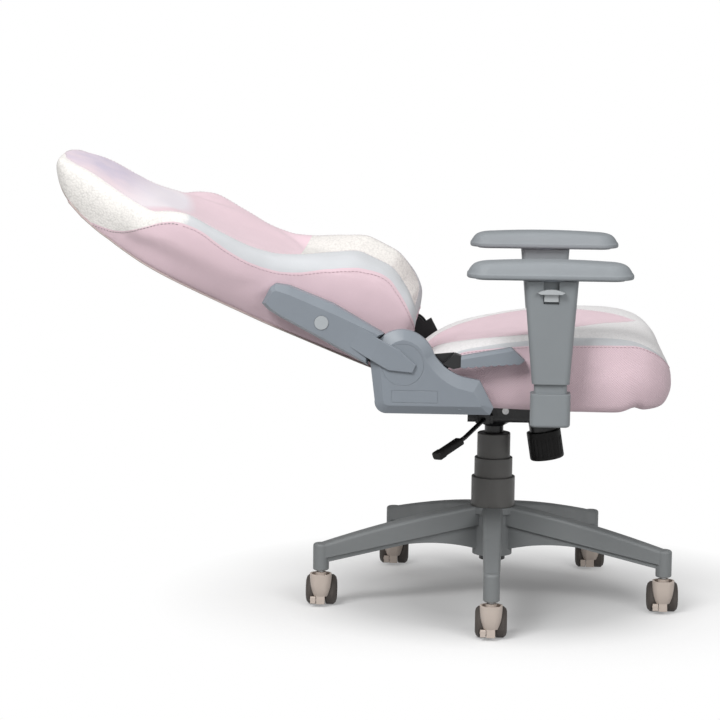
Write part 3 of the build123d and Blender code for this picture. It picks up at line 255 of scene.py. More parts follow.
def puff(piece, hold):
    """Blow the panels of a cover up between its held seams, by no more than the cap."""
    rest = places(piece)
    group = piece.vertex_groups.new(name="hold")
    for index, weight in enumerate(hold):
        if weight > 0.01:
            group.add([index], float(weight), "REPLACE")
    cloth = piece.modifiers.new("cloth", "CLOTH")
    settings = cloth.settings
    settings.quality = 6
    settings.mass = 0.4
    settings.tension_stiffness = 12
    settings.compression_stiffness = 12
    settings.shear_stiffness = 6
    settings.bending_stiffness = 1.5
    settings.use_pressure = True
    settings.uniform_pressure_force = PUFF_PRESSURE
    settings.vertex_group_mass = "hold"
    settings.effector_weights.gravity = 0
    cloth.point_cache.frame_start = 1
    cloth.point_cache.frame_end = PUFF_FRAMES
    for step in range(1, PUFF_FRAMES + 1):
        bpy.context.scene.frame_set(step)
    solved = piece.evaluated_get(bpy.context.evaluated_depsgraph_get()).to_mesh()
    moved = np.zeros(len(rest) * 3, np.float32)
    solved.vertices.foreach_get("co", moved)
    piece.evaluated_get(bpy.context.evaluated_depsgraph_get()).to_mesh_clear()
    piece.modifiers.remove(cloth)
    piece.vertex_groups.remove(group)
    bpy.context.scene.frame_set(1)
    shift = moved.reshape(-1, 3).astype(float) - rest
    size = np.linalg.norm(shift, axis=1, keepdims=True)
    shift *= np.tanh(size / PUFF_CAP) * PUFF_CAP / np.maximum(size, 1e-9)
    set_places(piece, rest + shift)


def settle(piece, rest, ring, way, rounds=30):
    """Let a cover bulge along one way only inside a ring, and evenly, where its rings close up."""
    now = places(piece)
    ends = np.zeros(len(piece.data.edges) * 2, np.int32)
    piece.data.edges.foreach_get("vertices", ends)
    one, other = ends.reshape(-1, 2).T
    mates = np.bincount(ends, minlength=len(now))
    inner = read(piece, "ring") > ring
    rise = (now - rest) @ way
    for _ in range(rounds):
        pull = np.bincount(one, rise[other], len(now)) + np.bincount(other, rise[one], len(now))
        rise = np.where(inner, pull / mates, rise)
    set_places(piece, np.where(inner[:, None], rest + rise[:, None] * way, now))


def seam_line(piece, ring):
    """Places and normals along one ring of a shell, in order."""
    rings, turns = read(piece, "ring"), read(piece, "turn")
    chosen = np.flatnonzero(np.abs(rings - ring) < SAME_RING)
    chosen = chosen[np.argsort(turns[chosen])]
    return places(piece)[chosen], normals(piece)[chosen]


def between(piece, ring, share):
    """A line between a ring and the next one, as places and normals."""
    rings, turns = read(piece, "ring"), read(piece, "turn")
    co, out = places(piece), normals(piece)

    def on(which):
        return {int(turns[k]): k for k in np.flatnonzero(np.abs(rings - which) < SAME_RING)}

    low, high = on(ring), on(ring + 1)
    both = sorted(set(low) & set(high))
    a, b = [low[t] for t in both], [high[t] for t in both]
    return co[a] + (co[b] - co[a]) * share, out[a] + (out[b] - out[a]) * share


def subdivide(piece, levels=1):
    """Round a piece off by subdivision."""
    modifier = piece.modifiers.new("rounding", "SUBSURF")
    modifier.levels = levels
    modifier.render_levels = levels
    return piece


def mesh_piece(name, verts, faces, material):
    """A smooth mesh piece from lists of points and faces."""
    data = bpy.data.meshes.new(name)
    data.from_pydata([tuple(v) for v in verts], [], faces)
    data.polygons.foreach_set("use_smooth", [True] * len(faces))
    data.materials.append(material)
    piece = bpy.data.objects.new(name, data)
    bpy.context.scene.collection.objects.link(piece)
    return piece


def tube(name, points, out, radius, material, sides=8):
    """Closed round cord along a loop of points, with out pointing off the surface."""
    ahead = np.roll(points, -1, 0) - np.roll(points, 1, 0)
    ahead /= np.linalg.norm(ahead, axis=1, keepdims=True)
    across = np.cross(ahead, out)
    across /= np.linalg.norm(across, axis=1, keepdims=True)
    up = np.cross(across, ahead)
    angles = np.linspace(0, 2 * pi, sides, endpoint=False)
    verts = []
    for p, a, b in zip(points, across, up):
        verts += [p + (a * cos(k) + b * sin(k)) * radius for k in angles]
    count = len(points)
    faces = [
        (i * sides + k, j * sides + k, j * sides + (k + 1) % sides, i * sides + (k + 1) % sides)
        for i, j in ((i, (i + 1) % count) for i in range(count))
        for k in range(sides)
    ]
    return mesh_piece(name, verts, faces, material)


STITCH_LENGTH = 4.6 * MM
STITCH_PITCH = 6.8 * MM
STITCH_WIDTH = 0.6 * MM


def stitches(name, lines, material):
    """Rows of thread stitches laid on (points, normals) lines: each is a small arched loop of thread."""
    verts, faces = [], []
    for points, out in lines:
        walk = np.concatenate(([0], np.cumsum(np.linalg.norm(np.diff(points, axis=0), axis=1))))
        for begin in np.arange(0, walk[-1] - STITCH_LENGTH, STITCH_PITCH):
            base = len(verts)
            for share in (0, 0.25, 0.75, 1):
                at = begin + share * STITCH_LENGTH
                spot = np.array([np.interp(at, walk, points[:, i]) for i in range(3)])
                lift = np.array([np.interp(at, walk, out[:, i]) for i in range(3)])
                near = np.array([np.interp(at + MM, walk, points[:, i]) for i in range(3)])
                side = np.cross(near - spot, lift)
                side /= np.linalg.norm(side) + 1e-9
                rise = STITCH_WIDTH * (0.9 if 0 < share < 1 else -0.6)
                for a, b in ((1, 0), (0, 0.9), (-1, 0), (0, -0.9)):
                    verts.append(spot + lift * (rise + b * STITCH_WIDTH) + side * a * STITCH_WIDTH)
            for ring in range(3):
                for k in range(4):
                    a, b = base + ring * 4 + k, base + ring * 4 + (k + 1) % 4
                    faces.append((a, a + 4, b + 4, b))
            faces.append((base, base + 1, base + 2, base + 3))
            faces.append((base + 15, base + 14, base + 13, base + 12))
    return mesh_piece(name, verts, faces, material)


# Materials


def shade(red, green, blue):
    """A colour as it looks on screen, 0 to 255, as a shader colour."""
    parts = [c / 255 for c in (red, green, blue)]
    return tuple(c / 12.92 if c <= 0.04045 else ((c + 0.055) / 1.055) ** 2.4 for c in parts) + (1,)


class Recipe:
    """One node material with a principled shader, and short ways to add nodes to it."""

    def __init__(self, name):
        self.material = bpy.data.materials.new(name)
        self.material.use_nodes = True
        self.tree = self.material.node_tree
        self.shader = self.tree.nodes["Principled BSDF"]

    def add(self, kind, inputs=None, **settings):
        node = self.tree.nodes.new("ShaderNode" + kind)
        for key, value in settings.items():
            setattr(node, key, value)
        for key, value in (inputs or {}).items():
            self.put(node.inputs[key], value)
        return node

    def put(self, socket, value):
        if isinstance(value, bpy.types.NodeSocket):
            self.tree.links.new(value, socket)
        else:
            socket.default_value = value

    def set(self, **inputs):
        for key, value in inputs.items():
            self.put(self.shader.inputs[key.replace("_", " ")], value)

    def object_place(self):
        return self.add("TexCoord").outputs["Object"]

    def layer(self, name, vector=False):
        node = self.add("Attribute", attribute_name=name)
        return node.outputs["Vector" if vector else "Fac"]

    def part(self, vector, axis):
        return self.add("SeparateXYZ", {"Vector": vector}).outputs[axis]

    def math(self, kind, a, b=0.0, clamp=False):
        node = self.add("Math", operation=kind, use_clamp=clamp)
        self.put(node.inputs[0], a)
        self.put(node.inputs[1], b)
        return node.outputs[0]

    def noise(self, place, scale, detail=3.0):
        return self.add("TexNoise", {"Vector": place, "Scale": scale, "Detail": detail}).outputs["Fac"]

    def cells(self, place, scale):
        return self.add("TexVoronoi", {"Vector": place, "Scale": scale}).outputs["Distance"]

    def ramp(self, value, low, high, to_low=0.0, to_high=1.0):
        inputs = {"Value": value, "From Min": low, "From Max": high, "To Min": to_low, "To Max": to_high}
        return self.add("MapRange", inputs).outputs["Result"]

    def mix(self, share, a, b):
        node = self.add("Mix", data_type="RGBA")
        self.put(node.inputs[0], share)
        self.put(node.inputs[6], a)
        self.put(node.inputs[7], b)
        return node.outputs[2]

    def blend(self, share, a, b):
        node = self.add("Mix", data_type="FLOAT")
        self.put(node.inputs[0], share)
        self.put(node.inputs[2], a)
        self.put(node.inputs[3], b)
        return node.outputs[0]

    def bump(self, height, depth, normal=None, strength=1.0):
        inputs = {"Height": height, "Distance": depth, "Strength": strength}
        if normal is not None:
            inputs["Normal"] = normal
        return self.add("Bump", inputs).outputs["Normal"]


def knit(recipe, colour, layer, pitch, contrast):
    """Colour and height of a fine knit: crossing ribs, with soft mottling."""
    place = recipe.layer(layer, vector=True)
    row = recipe.math("SINE", recipe.math("MULTIPLY", recipe.part(place, "X"), 2 * pi / pitch))
    column = recipe.math("SINE", recipe.math("MULTIPLY", recipe.part(place, "Y"), 2 * pi / pitch))
    height = recipe.math("MULTIPLY", row, column)
    fuzz = recipe.noise(place, 700, 2)
    mottle = recipe.noise(place, 14, 4)
    dark = tuple(c * (1 - contrast) for c in colour[:3]) + (1,)
    light = tuple(min(1, c * (1 + contrast)) for c in colour[:3]) + (1,)
    share = recipe.ramp(height, -1, 1, 0.3, 0.7)
    share = recipe.math("ADD", share, recipe.ramp(mottle, 0.3, 0.7, -0.15, 0.15))
    share = recipe.math("ADD", share, recipe.ramp(fuzz, 0.3, 0.7, -0.15, 0.15), clamp=True)
    return recipe.mix(share, dark, light), height


def boucle(recipe, colour, size=1.0):
    """Colour and height of looped white wool: small curls with shaded hollows."""
    place = recipe.layer("plan", vector=True)
    swirl = {"Vector": place, "Scale": 210.0 / size, "Detail": 2.0}
    bend = recipe.add("TexNoise", swirl).outputs["Color"]
    bend = recipe.add("VectorMath", {0: bend, 1: (4.5 * MM * size,) * 3}, operation="MULTIPLY").outputs[0]
    curled = recipe.add("VectorMath", {0: place, 1: bend}, operation="ADD").outputs[0]
    curls = recipe.cells(curled, 260.0 / size)
    tufts = recipe.noise(place, 90 / size, 4)
    height = recipe.math("SUBTRACT", recipe.math("MULTIPLY", tufts, 0.7), curls)
    shadow = tuple(c * 0.86 for c in colour[:3]) + (1,)
    share = recipe.ramp(height, -0.5, 0.05)
    return recipe.mix(share, shadow, colour), height


PINK = shade(222, 197, 205)
CREAM = shade(234, 231, 227)
# Painted shade: the loins' boucle is the head's cream painted darker, so that the loins, which catch more
# light, render no brighter than the head.
SHADED_LOIN_CREAM = shade(222, 219, 215)
SEAT_WHITE = shade(226, 224, 224)
STRIPE = shade(201, 203, 206)
LAVENDER = shade(198, 188, 206)
ROSE = shade(224, 206, 213)
MIST = shade(232, 226, 231)
BEIGE = shade(203, 188, 180)


def soft_finish(recipe, colour, height, depth, sheen=0.2):
    """Cloth surface: matt, with a little sheen, and its weave as relief."""
    recipe.set(Base_Color=colour, Roughness=0.9, Sheen_Weight=sheen, Sheen_Roughness=0.5)
    recipe.set(Specular_IOR_Level=0.2, Normal=recipe.bump(height, depth))
    return recipe.material


def pink_cloth(name, layer, pitch=2.3 * MM, contrast=0.09):
    """Pink knit."""
    recipe = Recipe(name)
    colour, height = knit(recipe, PINK, layer, pitch, contrast)
    return soft_finish(recipe, colour, height, 0.22 * MM)


def boucle_cloth(name, colour, size=1.0):
    """White looped wool."""
    recipe = Recipe(name)
    colour, height = boucle(recipe, colour, size)
    return soft_finish(recipe, colour, height, 0.6 * MM * size)


def stripe_cloth(name):
    """Pale grey mesh."""
    recipe = Recipe(name)
    colour, height = knit(recipe, STRIPE, "weave", 1.9 * MM, 0.12)
    return soft_finish(recipe, colour, height, 0.25 * MM)


def rear_cloth(name):
    """Cloth of the rear panel."""
    recipe = Recipe(name)
    colour, height = knit(recipe, BEIGE, "plan", 2.6 * MM, 0.10)
    return soft_finish(recipe, colour, height, 0.25 * MM)


def band_cloth(name, split):
    """Stripe that turns from grey mesh to white boucle above a place on the back."""
    recipe = Recipe(name)
    u = recipe.part(recipe.layer("plan", vector=True), "X")
    ragged = recipe.math("MULTIPLY", recipe.noise(recipe.layer("plan", vector=True), 120, 3), 0.012)
    share = recipe.ramp(recipe.math("ADD", u, ragged), (split - 3) * MM, (split + 9) * MM)
    mesh_colour, mesh_height = knit(recipe, STRIPE, "weave", 1.9 * MM, 0.10)
    wool_colour, wool_height = boucle(recipe, CREAM)
    height = recipe.blend(share, recipe.math("MULTIPLY", mesh_height, 0.2), wool_height)
    return soft_finish(recipe, recipe.mix(share, mesh_colour, wool_colour), height, 0.6 * MM)


def front_cloth(name, lumbar_top, head_foot, head_dip):
    """Front of the back: white boucle at the loins, painted darker than the head's as painted shade, pink
    knit, then a lavender fade on the head.
    """
    recipe = Recipe(name)
    place = recipe.layer("plan", vector=True)
    u = recipe.part(place, "X")
    y = recipe.part(place, "Y")
    square = recipe.math("MULTIPLY", y, y)
    curve = recipe.math("SUBTRACT", u, recipe.math("MULTIPLY", square, head_dip))
    head = recipe.math("SUBTRACT", curve, head_foot * MM)
    loin = recipe.math("LESS_THAN", u, lumbar_top * MM)
    pink, pink_height = knit(recipe, PINK, "plan", 2.3 * MM, 0.09)
    # painted shade: the loins take the darker copy of the cream boucle
    wool, wool_height = boucle(recipe, SHADED_LOIN_CREAM)
    drift = recipe.noise(place, 16, 3)
    wash = recipe.ramp(drift, 0.35, 0.65, 0.0, 0.45)
    sides = recipe.ramp(square, 0.006, 0.022, 0.0, 0.8)
    tip = recipe.ramp(u, 0.63, 0.70, 0.0, 0.35)
    share = recipe.math("ADD", recipe.math("ADD", wash, sides), tip, clamp=True)
    fade = recipe.mix(recipe.ramp(u, 0.59, 0.52, 0.0, 0.8), recipe.mix(share, LAVENDER, ROSE), MIST)
    colour = recipe.mix(loin, recipe.mix(recipe.ramp(head, -0.012, 0.012), pink, fade), wool)
    height = recipe.blend(loin, recipe.math("MULTIPLY", pink_height, 0.2), wool_height)
    return soft_finish(recipe, colour, height, 0.6 * MM)


def edge_mask(recipe, radius):
    """Rounded normal, and a mask of the edges where it differs from the flat one."""
    rounded = recipe.add("Bevel", {"Radius": radius}, samples=4).outputs["Normal"]
    flat = recipe.add("NewGeometry").outputs["Normal"]
    agree = recipe.add("VectorMath", {0: rounded, 1: flat}, operation="DOT_PRODUCT").outputs["Value"]
    return rounded, recipe.ramp(agree, 0.995, 0.85)


def moulded(name, colour, rough=0.48, grain=0.05 * MM, wear=0.18, cloudy=0.05, shine=0.5):
    """Moulded plastic: fine spark-eroded grain, slight clouding, rubbed edges."""
    recipe = Recipe(name)
    place = recipe.object_place()
    rounded, edges = edge_mask(recipe, 0.9 * MM)
    cloud = recipe.ramp(recipe.noise(place, 6, 4), 0.3, 0.7)
    dark = tuple(c * (1 - cloudy) for c in colour[:3]) + (1,)
    light = tuple(min(1, c * (1 + cloudy)) for c in colour[:3]) + (1,)
    worn = tuple(c + (1 - c) * 0.35 for c in colour[:3]) + (1,)
    scuff = recipe.ramp(recipe.noise(place, 60, 5), 0.42, 0.62)
    wear_share = recipe.math("MULTIPLY", recipe.math("MULTIPLY", edges, scuff), wear)
    body = recipe.mix(cloud, dark, light)
    pits = recipe.noise(place, 1300, 2)
    roughness = recipe.ramp(recipe.noise(place, 40, 4), 0.3, 0.7, rough - 0.05, rough + 0.07)
    recipe.set(Base_Color=recipe.mix(wear_share, body, worn), Roughness=roughness)
    recipe.set(Specular_IOR_Level=shine, Normal=recipe.bump(pits, grain, rounded))
    return recipe.material


def coated(name, colour, rough=0.38):
    """Powder-coated steel: orange-peel relief and bare metal glints at the edges."""
    recipe = Recipe(name)
    place = recipe.object_place()
    rounded, edges = edge_mask(recipe, 0.6 * MM)
    peel = recipe.noise(place, 420, 3)
    scuff = recipe.ramp(recipe.noise(place, 90, 5), 0.5, 0.66)
    bare = recipe.math("MULTIPLY", recipe.math("MULTIPLY", edges, scuff), 0.5)
    recipe.set(Base_Color=recipe.mix(bare, colour, shade(150, 150, 152)))
    recipe.set(Roughness=recipe.ramp(recipe.noise(place, 30, 4), 0.3, 0.7, rough - 0.06, rough + 0.08))
    recipe.set(Normal=recipe.bump(peel, 0.08 * MM, rounded))
    return recipe.material


def bright_steel(name):
    """Zinc-plated steel: fine turning marks and a mottled bloom."""
    recipe = Recipe(name)
    place = recipe.object_place()
    rounded, _ = edge_mask(recipe, 0.4 * MM)
    bloom = recipe.ramp(recipe.noise(place, 180, 4), 0.3, 0.7)
    marks = recipe.math("SINE", recipe.math("MULTIPLY", recipe.part(place, "Z"), 9000.0))
    recipe.set(Base_Color=recipe.mix(bloom, shade(168, 168, 170), shade(196, 196, 194)), Metallic=1.0)
    recipe.set(Roughness=recipe.ramp(bloom, 0, 1, 0.28, 0.42))
    recipe.set(Normal=recipe.bump(marks, 0.01 * MM, rounded))
    return recipe.material


def thread(name, colour):
    """Sewing thread: twisted strands."""
    recipe = Recipe(name)
    place = recipe.object_place()
    twist = recipe.noise(place, 900, 2)
    dark = tuple(c * 0.8 for c in colour[:3]) + (1,)
    recipe.set(Base_Color=recipe.mix(twist, dark, colour), Roughness=0.6)
    recipe.set(Normal=recipe.bump(twist, 0.15 * MM))
    return recipe.material


def webbing_cloth(name):
    """Black woven elastic, for the straps and the dust cover under the seat."""
    recipe = Recipe(name)
    place = recipe.object_place()
    row = recipe.math("SINE", recipe.math("MULTIPLY", recipe.part(place, "X"), 2600.0))
    column = recipe.math("SINE", recipe.math("MULTIPLY", recipe.part(place, "Y"), 2600.0))
    height = recipe.math("MULTIPLY", row, column)
    share = recipe.ramp(height, -1, 1)
    recipe.set(Base_Color=recipe.mix(share, shade(22, 22, 24), shade(44, 44, 47)), Roughness=0.9)
    recipe.set(Normal=recipe.bump(height, 0.3 * MM))
    return recipe.material


# Hard parts keep their shape and take these finishes

FINISHES = {
    "base_plastic": moulded("base_nylon", shade(122, 125, 126), rough=0.5),
    "steel": bright_steel("zinc_steel"),
    "caster_taupe": moulded("caster_taupe", shade(198, 185, 175), rough=0.42),
    "caster_wheel": moulded("caster_tread", shade(78, 72, 68), rough=0.62),
    "black_steel": coated("black_powder", shade(26, 26, 28)),
    "cover_dark_plastic": moulded("lift_cover", shade(98, 97, 95), rough=0.5),
    "black_plastic": moulded("black_moulding", shade(12, 11, 11), rough=0.5, wear=0.06, shine=0.25),
    "webbing": webbing_cloth("webbing"),
    "grey_plastic": moulded("grey_moulding", shade(129, 136, 144), rough=0.42),
    "silver_plastic": moulded("silver_moulding", shade(176, 180, 182), rough=0.36),
}
SLOT_OF = {part["node"]: part["material_slot"] for part in frame["record"]["subparts"]}
OWN_FINISH = {"back_cover_caps": moulded("cap_moulding", shade(168, 173, 176), rough=0.4)}
POST_FINISH = moulded("post_moulding", shade(131, 136, 139), rough=0.46)
for post_side in ("right", "left"):
    OWN_FINISH[f"armrest_post_{post_side}"] = POST_FINISH
    OWN_FINISH[f"armrest_sleeve_{post_side}"] = POST_FINISH


def dress(node, piece):
    """Give a carried-over node its finish."""
    finish = OWN_FINISH.get(node) or FINISHES.get(SLOT_OF[node])
    if finish is None:
        return
    piece.data.materials.clear()
    piece.data.materials.append(finish)


for node_name, node_piece in frame["nodes"].items():
    dress(node_name, node_piece)


# Seat cover: rings run from the underside, up the side, over the white rim and in to the pink middle

SEAT_OUTLINE = [
    (SEAT_REAR + 3, 0), (SEAT_REAR + 3, 110), (SEAT_REAR + 8, 170), (-150, 199), (-94, 206), (-30, 216),
    (40, 231), (130, 245), (215, 247), (262, 236), (292, 204), (307, 140), (310, 70), (311, 0),
]
leaf_width = along(
    (-170, -6), (-158, 0), (-146, 30), (-122, 66), (-98, 94), (-60, 130), (0, 168), (50, 184), (100, 168),
    (150, 128), (190, 88), (230, 42), (252, 0), (264, -8),
)
rim_top = along(
    (-188, 414), (-140, 450), (-100, 477), (-60, 490), (0, 502), (50, 509), (100, 515), (150, 519),
    (190, 520), (240, 516), (275, 507), (300, 487), (312, 466),
)
dish_top = along(
    (-188, 412), (-140, 448), (-100, 472), (-60, 483), (0, 491), (50, 497), (100, 505), (150, 511),
    (190, 515), (240, 516), (275, 507), (300, 487), (312, 466),
)
stripe_top = along(
    (-188, 408), (-140, 445), (-100, 470), (-57, 488), (-4, 497), (49, 504), (137, 511), (182, 512),
    (235, 509), (262, 502), (285, 491), (300, 476), (312, 456),
)
stripe_drop = along(
    (-188, 30), (-100, 24), (-57, 8), (49, 9), (137, 12), (200, 11), (250, 8), (290, 12), (312, 14),
)
stripe_share = along((-150, 0.03), (-70, 0.25), (40, 0.8), (137, 1), (215, 0.9), (255, 0.5), (288, 0.03))
bottom_rise = along((-188, 5), (-100, 1), (212, 1), (250, 9), (266, 3), (312, 2))
bottom_tuck = along((-188, 18), (225, 18), (255, 30), (312, 34))
STRIPE_IN = 17
SEAT_SPINE = (-70, 180)


def seat_top(plan):
    """Height of the seat's top: a shallow leaf-shaped dish inside a raised rim."""
    x, y = plan[:, 0], np.abs(plan[:, 1])
    leaf = leaf_width(x)
    outer = np.maximum(np.interp(x, *seat_half) - STRIPE_IN, leaf + 1)
    inside = np.clip(y / np.maximum(leaf, 1), 0, 1)
    outside = np.clip((y - leaf) / (outer - leaf), 0, 1)
    dish = dish_top(x) + (rim_top(x) - dish_top(x)) * inside**2
    return dish + (stripe_top(x) - rim_top(x)) * outside**1.6 + 3 * np.sin(pi * outside)


def leaf_edge(edge, spine):
    """Plan points where the line from the outline to the spine enters the leaf."""
    tries = np.linspace(0.05, 0.97, 180)[:, None, None]
    path = edge + (spine - edge) * tries
    entered = np.abs(path[..., 1]) < leaf_width(path[..., 0])
    entered[-1] = True
    return path[np.argmax(entered, axis=0), np.arange(len(edge))]


def with_height(plan, height):
    """Plan points with a height, as (length, width, height)."""
    return np.column_stack((plan, np.broadcast_to(height, len(plan))))


SEAT_COUNTS = (18, 16, 3, 9, 18)
SEAT_RINGS = {
    "edge": SEAT_COUNTS[0],
    "stripe_low": sum(SEAT_COUNTS[:2]),
    "stripe_high": sum(SEAT_COUNTS[:3]),
    "panel": sum(SEAT_COUNTS[:4]),
}
seat_edge = half_outline(SEAT_OUTLINE, 130)
seat_rise = seat_edge[: len(seat_edge) // 2 + 1]
seat_half = np.array(seat_rise)[np.argsort(seat_rise[:, 0])].T


def seat_cover():
    """The seat's closed cover, with its seams as rings."""
    edge = seat_edge
    x = edge[:, 0]
    spine = np.column_stack((np.clip(x, *SEAT_SPINE), np.zeros(len(edge))))
    leaf = leaf_edge(edge, spine)
    stripe_plan = inward(edge, spine, STRIPE_IN)
    high = stripe_top(x)
    low = high - stripe_drop(x)
    foot = SEAT_BOTTOM + bottom_rise(x)
    tall = low - foot
    stops = [
        with_height(spine, SEAT_BOTTOM + 4),
        with_height(inward(edge, spine, 90), SEAT_BOTTOM + 4),
        with_height(inward(edge, spine, bottom_tuck(x)), foot),
        with_height(inward(edge, spine, bottom_tuck(x) * 0.34), foot + 0.12 * tall),
        with_height(edge, foot + 0.5 * tall),
        with_height(inward(edge, spine, 1.5), foot + 0.84 * tall),
        with_height(inward(edge, spine, 5.5), low),
        with_height(stripe_plan, high),
        with_height((stripe_plan + leaf) / 2, seat_top((stripe_plan + leaf) / 2)),
        with_height(leaf, seat_top(leaf)),
        with_height((leaf + spine) / 2, seat_top((leaf + spine) / 2)),
        with_height(spine, seat_top(spine)),
    ]
    stops = np.stack(stops, 1)
    flat = np.ones(len(edge))
    seams = [0 * flat, 2 * flat, 6 * flat, 6 + stripe_share(x), 9 * flat, 11 * flat]
    grid = profile(stops, spread(seams, SEAT_COUNTS))
    materials = [
        webbing_cloth("dust_cover"),
        pink_cloth("seat_side_knit", "weave", 4.4 * MM, 0.2),
        stripe_cloth("seat_stripe"),
        boucle_cloth("seat_boucle", SEAT_WHITE, 0.6),
        pink_cloth("seat_middle_knit", "plan"),
    ]
    piece = shell("seat_cover", grid, grid, materials, SEAT_COUNTS)
    rest = places(piece)
    puff(piece, held(piece, SEAT_RINGS, below="edge"))
    settle(piece, rest, SEAT_RINGS["panel"] + 2, np.array((0, 0, 1)))
    return piece


seat = seat_cover()


# Back cover: rings run from the rear panel, up the side, over the wing and in to the middle

BACK_OUTLINE = [
    (2, 0), (2, 110), (5, 176), (20, 204), (50, 212), (90, 219), (150, 228), (215, 232), (275, 237),
    (330, 250), (380, 260), (432, 265), (480, 257), (520, 233), (556, 201), (592, 182), (634, 169),
    (670, 156), (696, 126), (706, 70), (709, 0),
]
back_width = along(
    (2, 208), (50, 212), (150, 228), (275, 237), (380, 260), (432, 265), (480, 257), (520, 233),
    (556, 201), (592, 183), (634, 170), (700, 140),
)
back_rear = along(
    (2, -34), (40, -40), (150, -49), (275, -58), (440, -61), (560, -57), (620, -47), (660, -30), (704, 2),
)
back_crest = along(
    (2, 44), (20, 78), (60, 112), (100, 127), (148, 126), (195, 104), (250, 72), (291, 56), (340, 50),
    (391, 51), (440, 53), (476, 42), (506, 26), (560, 22), (640, 27), (704, 20),
)
back_middle = along(
    (2, 24), (40, 36), (90, 50), (150, 56), (215, 52), (275, 38), (370, 25), (440, 23), (535, 31),
    (640, 36), (704, 22),
)
back_crest_in = along(
    (2, 34), (60, 66), (100, 78), (150, 78), (215, 58), (275, 42), (370, 30), (440, 26), (704, 24),
)
back_flare = along(
    (2, 8), (150, 20), (275, 26), (370, 30), (500, 28), (560, 18), (640, 12), (704, 8),
)
side_hollow = along((2, 0), (200, 0), (330, 2), (430, 4), (500, 4), (560, 2), (704, 0))
band_top = along((2, 7), (690, 7), (702, 6.5), (709, 5.2))
band_foot = along(
    (2, 50), (21, 70), (58, 98), (98, 113), (132, 108), (190, 78), (235, 48), (274, 33), (318, 28),
    (366, 32), (417, 40), (452, 35), (471, 25), (505, -6), (535, -33), (564, -46), (600, -52), (704, -60),
)
wing_fall = along((2, 50), (235, 50), (330, 105), (480, 110), (560, 80), (704, 60))
PANEL_REACH = 0.75
BACK_SPINE = (90, 600)
LUMBAR_TOP = 248
LUMBAR_SEAM = 3.5
HEAD_FOOT = 462
HEAD_DIP = 1.3
BAND_SPLIT = 446

BACK_COUNTS = (20, 14, 6, 9, 17)
BACK_RINGS = {
    "edge": BACK_COUNTS[0],
    "band_low": sum(BACK_COUNTS[:2]),
    "band_high": sum(BACK_COUNTS[:3]),
}
BACK_INNER_RING = sum(BACK_COUNTS[:4]) + 4


def back_front(plan):
    """Height of the back's front above the spine plane: dished, with a wing along each side."""
    u, y = plan[:, 0], np.abs(plan[:, 1])
    top = back_width(u) - back_crest_in(u)
    foot = np.maximum(top - wing_fall(u), 1)
    climb = np.clip((y - foot) / np.maximum(top - foot, 1), 0, 1)
    share = 0.3 * np.clip(y / foot, 0, 1) ** 2 + 0.7 * (3 * climb**2 - 2 * climb**3)
    return back_middle(u) + (back_crest(u) - back_middle(u)) * share


def band_stop(stops, u):
    """Stop number where the band's lower seam crosses each profile."""
    tries = np.linspace(2.02, 6.4, 150)
    heights = profile(stops, np.broadcast_to(tries, (len(stops), len(tries))))[..., 2]
    return tries[np.argmax(heights >= np.minimum(band_foot(u), heights.max(1) - 3)[:, None], axis=1)]


def back_cover():
    """The back's closed cover, with its seams as rings."""
    edge = half_outline(BACK_OUTLINE, 150)
    spine = np.column_stack((np.clip(edge[:, 0], *BACK_SPINE), np.zeros(len(edge))))
    u = edge[:, 0]
    rear_plan = inward(edge, spine, back_flare(u))
    crest_plan = inward(edge, spine, back_crest_in(u))
    reach = np.linalg.norm(spine - edge, axis=1)
    panel_plan = inward(edge, spine, np.minimum(back_crest_in(u) + wing_fall(u), PANEL_REACH * reach))
    rear, crest = back_rear(rear_plan[:, 0]), back_front(crest_plan)
    tall = crest - rear
    stops = [
        with_height(spine, back_rear(spine[:, 0]) - 5),
        with_height((rear_plan + spine) / 2, back_rear((rear_plan + spine)[:, 0] / 2) - 4),
        with_height(rear_plan, rear + 1),
        with_height(inward(edge, spine, back_flare(u) * 0.35 + side_hollow(u)), rear + 0.3 * tall),
        with_height(inward(edge, spine, 1), rear + 0.56 * tall),
        with_height(inward(edge, spine, 2), rear + 0.76 * tall),
        with_height(inward(edge, spine, back_crest_in(u) * 0.4), rear + 0.95 * tall),
        with_height(crest_plan, crest),
        with_height(panel_plan, back_front(panel_plan)),
        with_height((panel_plan + spine) / 2, back_front((panel_plan + spine) / 2)),
        with_height(spine, back_front(spine)),
    ]
    stops = np.stack(stops, 1)
    flat = np.ones(len(edge))
    low = band_stop(stops, u)
    seams = [0 * flat, 2 * flat, low, np.maximum(band_top(u), low + 0.3), 8 * flat, 10 * flat]
    local = profile(stops, spread(seams, BACK_COUNTS))
    grid = HINGE / MM + local @ np.array((U_DIR, (0, 1, 0), N_DIR))
    front = front_cloth("back_front", LUMBAR_TOP, HEAD_FOOT, HEAD_DIP)
    side = pink_cloth("back_side_knit", "weave")
    materials = [rear_cloth("rear_cloth"), side, band_cloth("back_band", BAND_SPLIT), front, front]
    piece = shell("back_cover", grid, local, materials, BACK_COUNTS)
    hold = held(piece, BACK_RINGS)
    front_side = read(piece, "ring") > BACK_RINGS["band_high"]
    loin_seam = np.abs(read(piece, "plan", 3)[:, 0] - LUMBAR_TOP * MM) < LUMBAR_SEAM * MM
    rest = places(piece)
    puff(piece, np.maximum(hold, front_side & loin_seam))
    settle(piece, rest, BACK_INNER_RING, N_DIR)
    return piece


back = back_cover()


# Thread and piping along the seams

rose_thread = thread("rose_thread", shade(206, 178, 186))
white_thread = thread("white_thread", shade(226, 219, 220))
grey_thread = thread("grey_thread", shade(152, 143, 144))
piping_cord = thread("piping_cord", shade(190, 174, 170))


def sew_row(name, body, lines, material):
    """Stitches along lines on one body."""
    row = stitches(name, lines, material)
    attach(row, body)


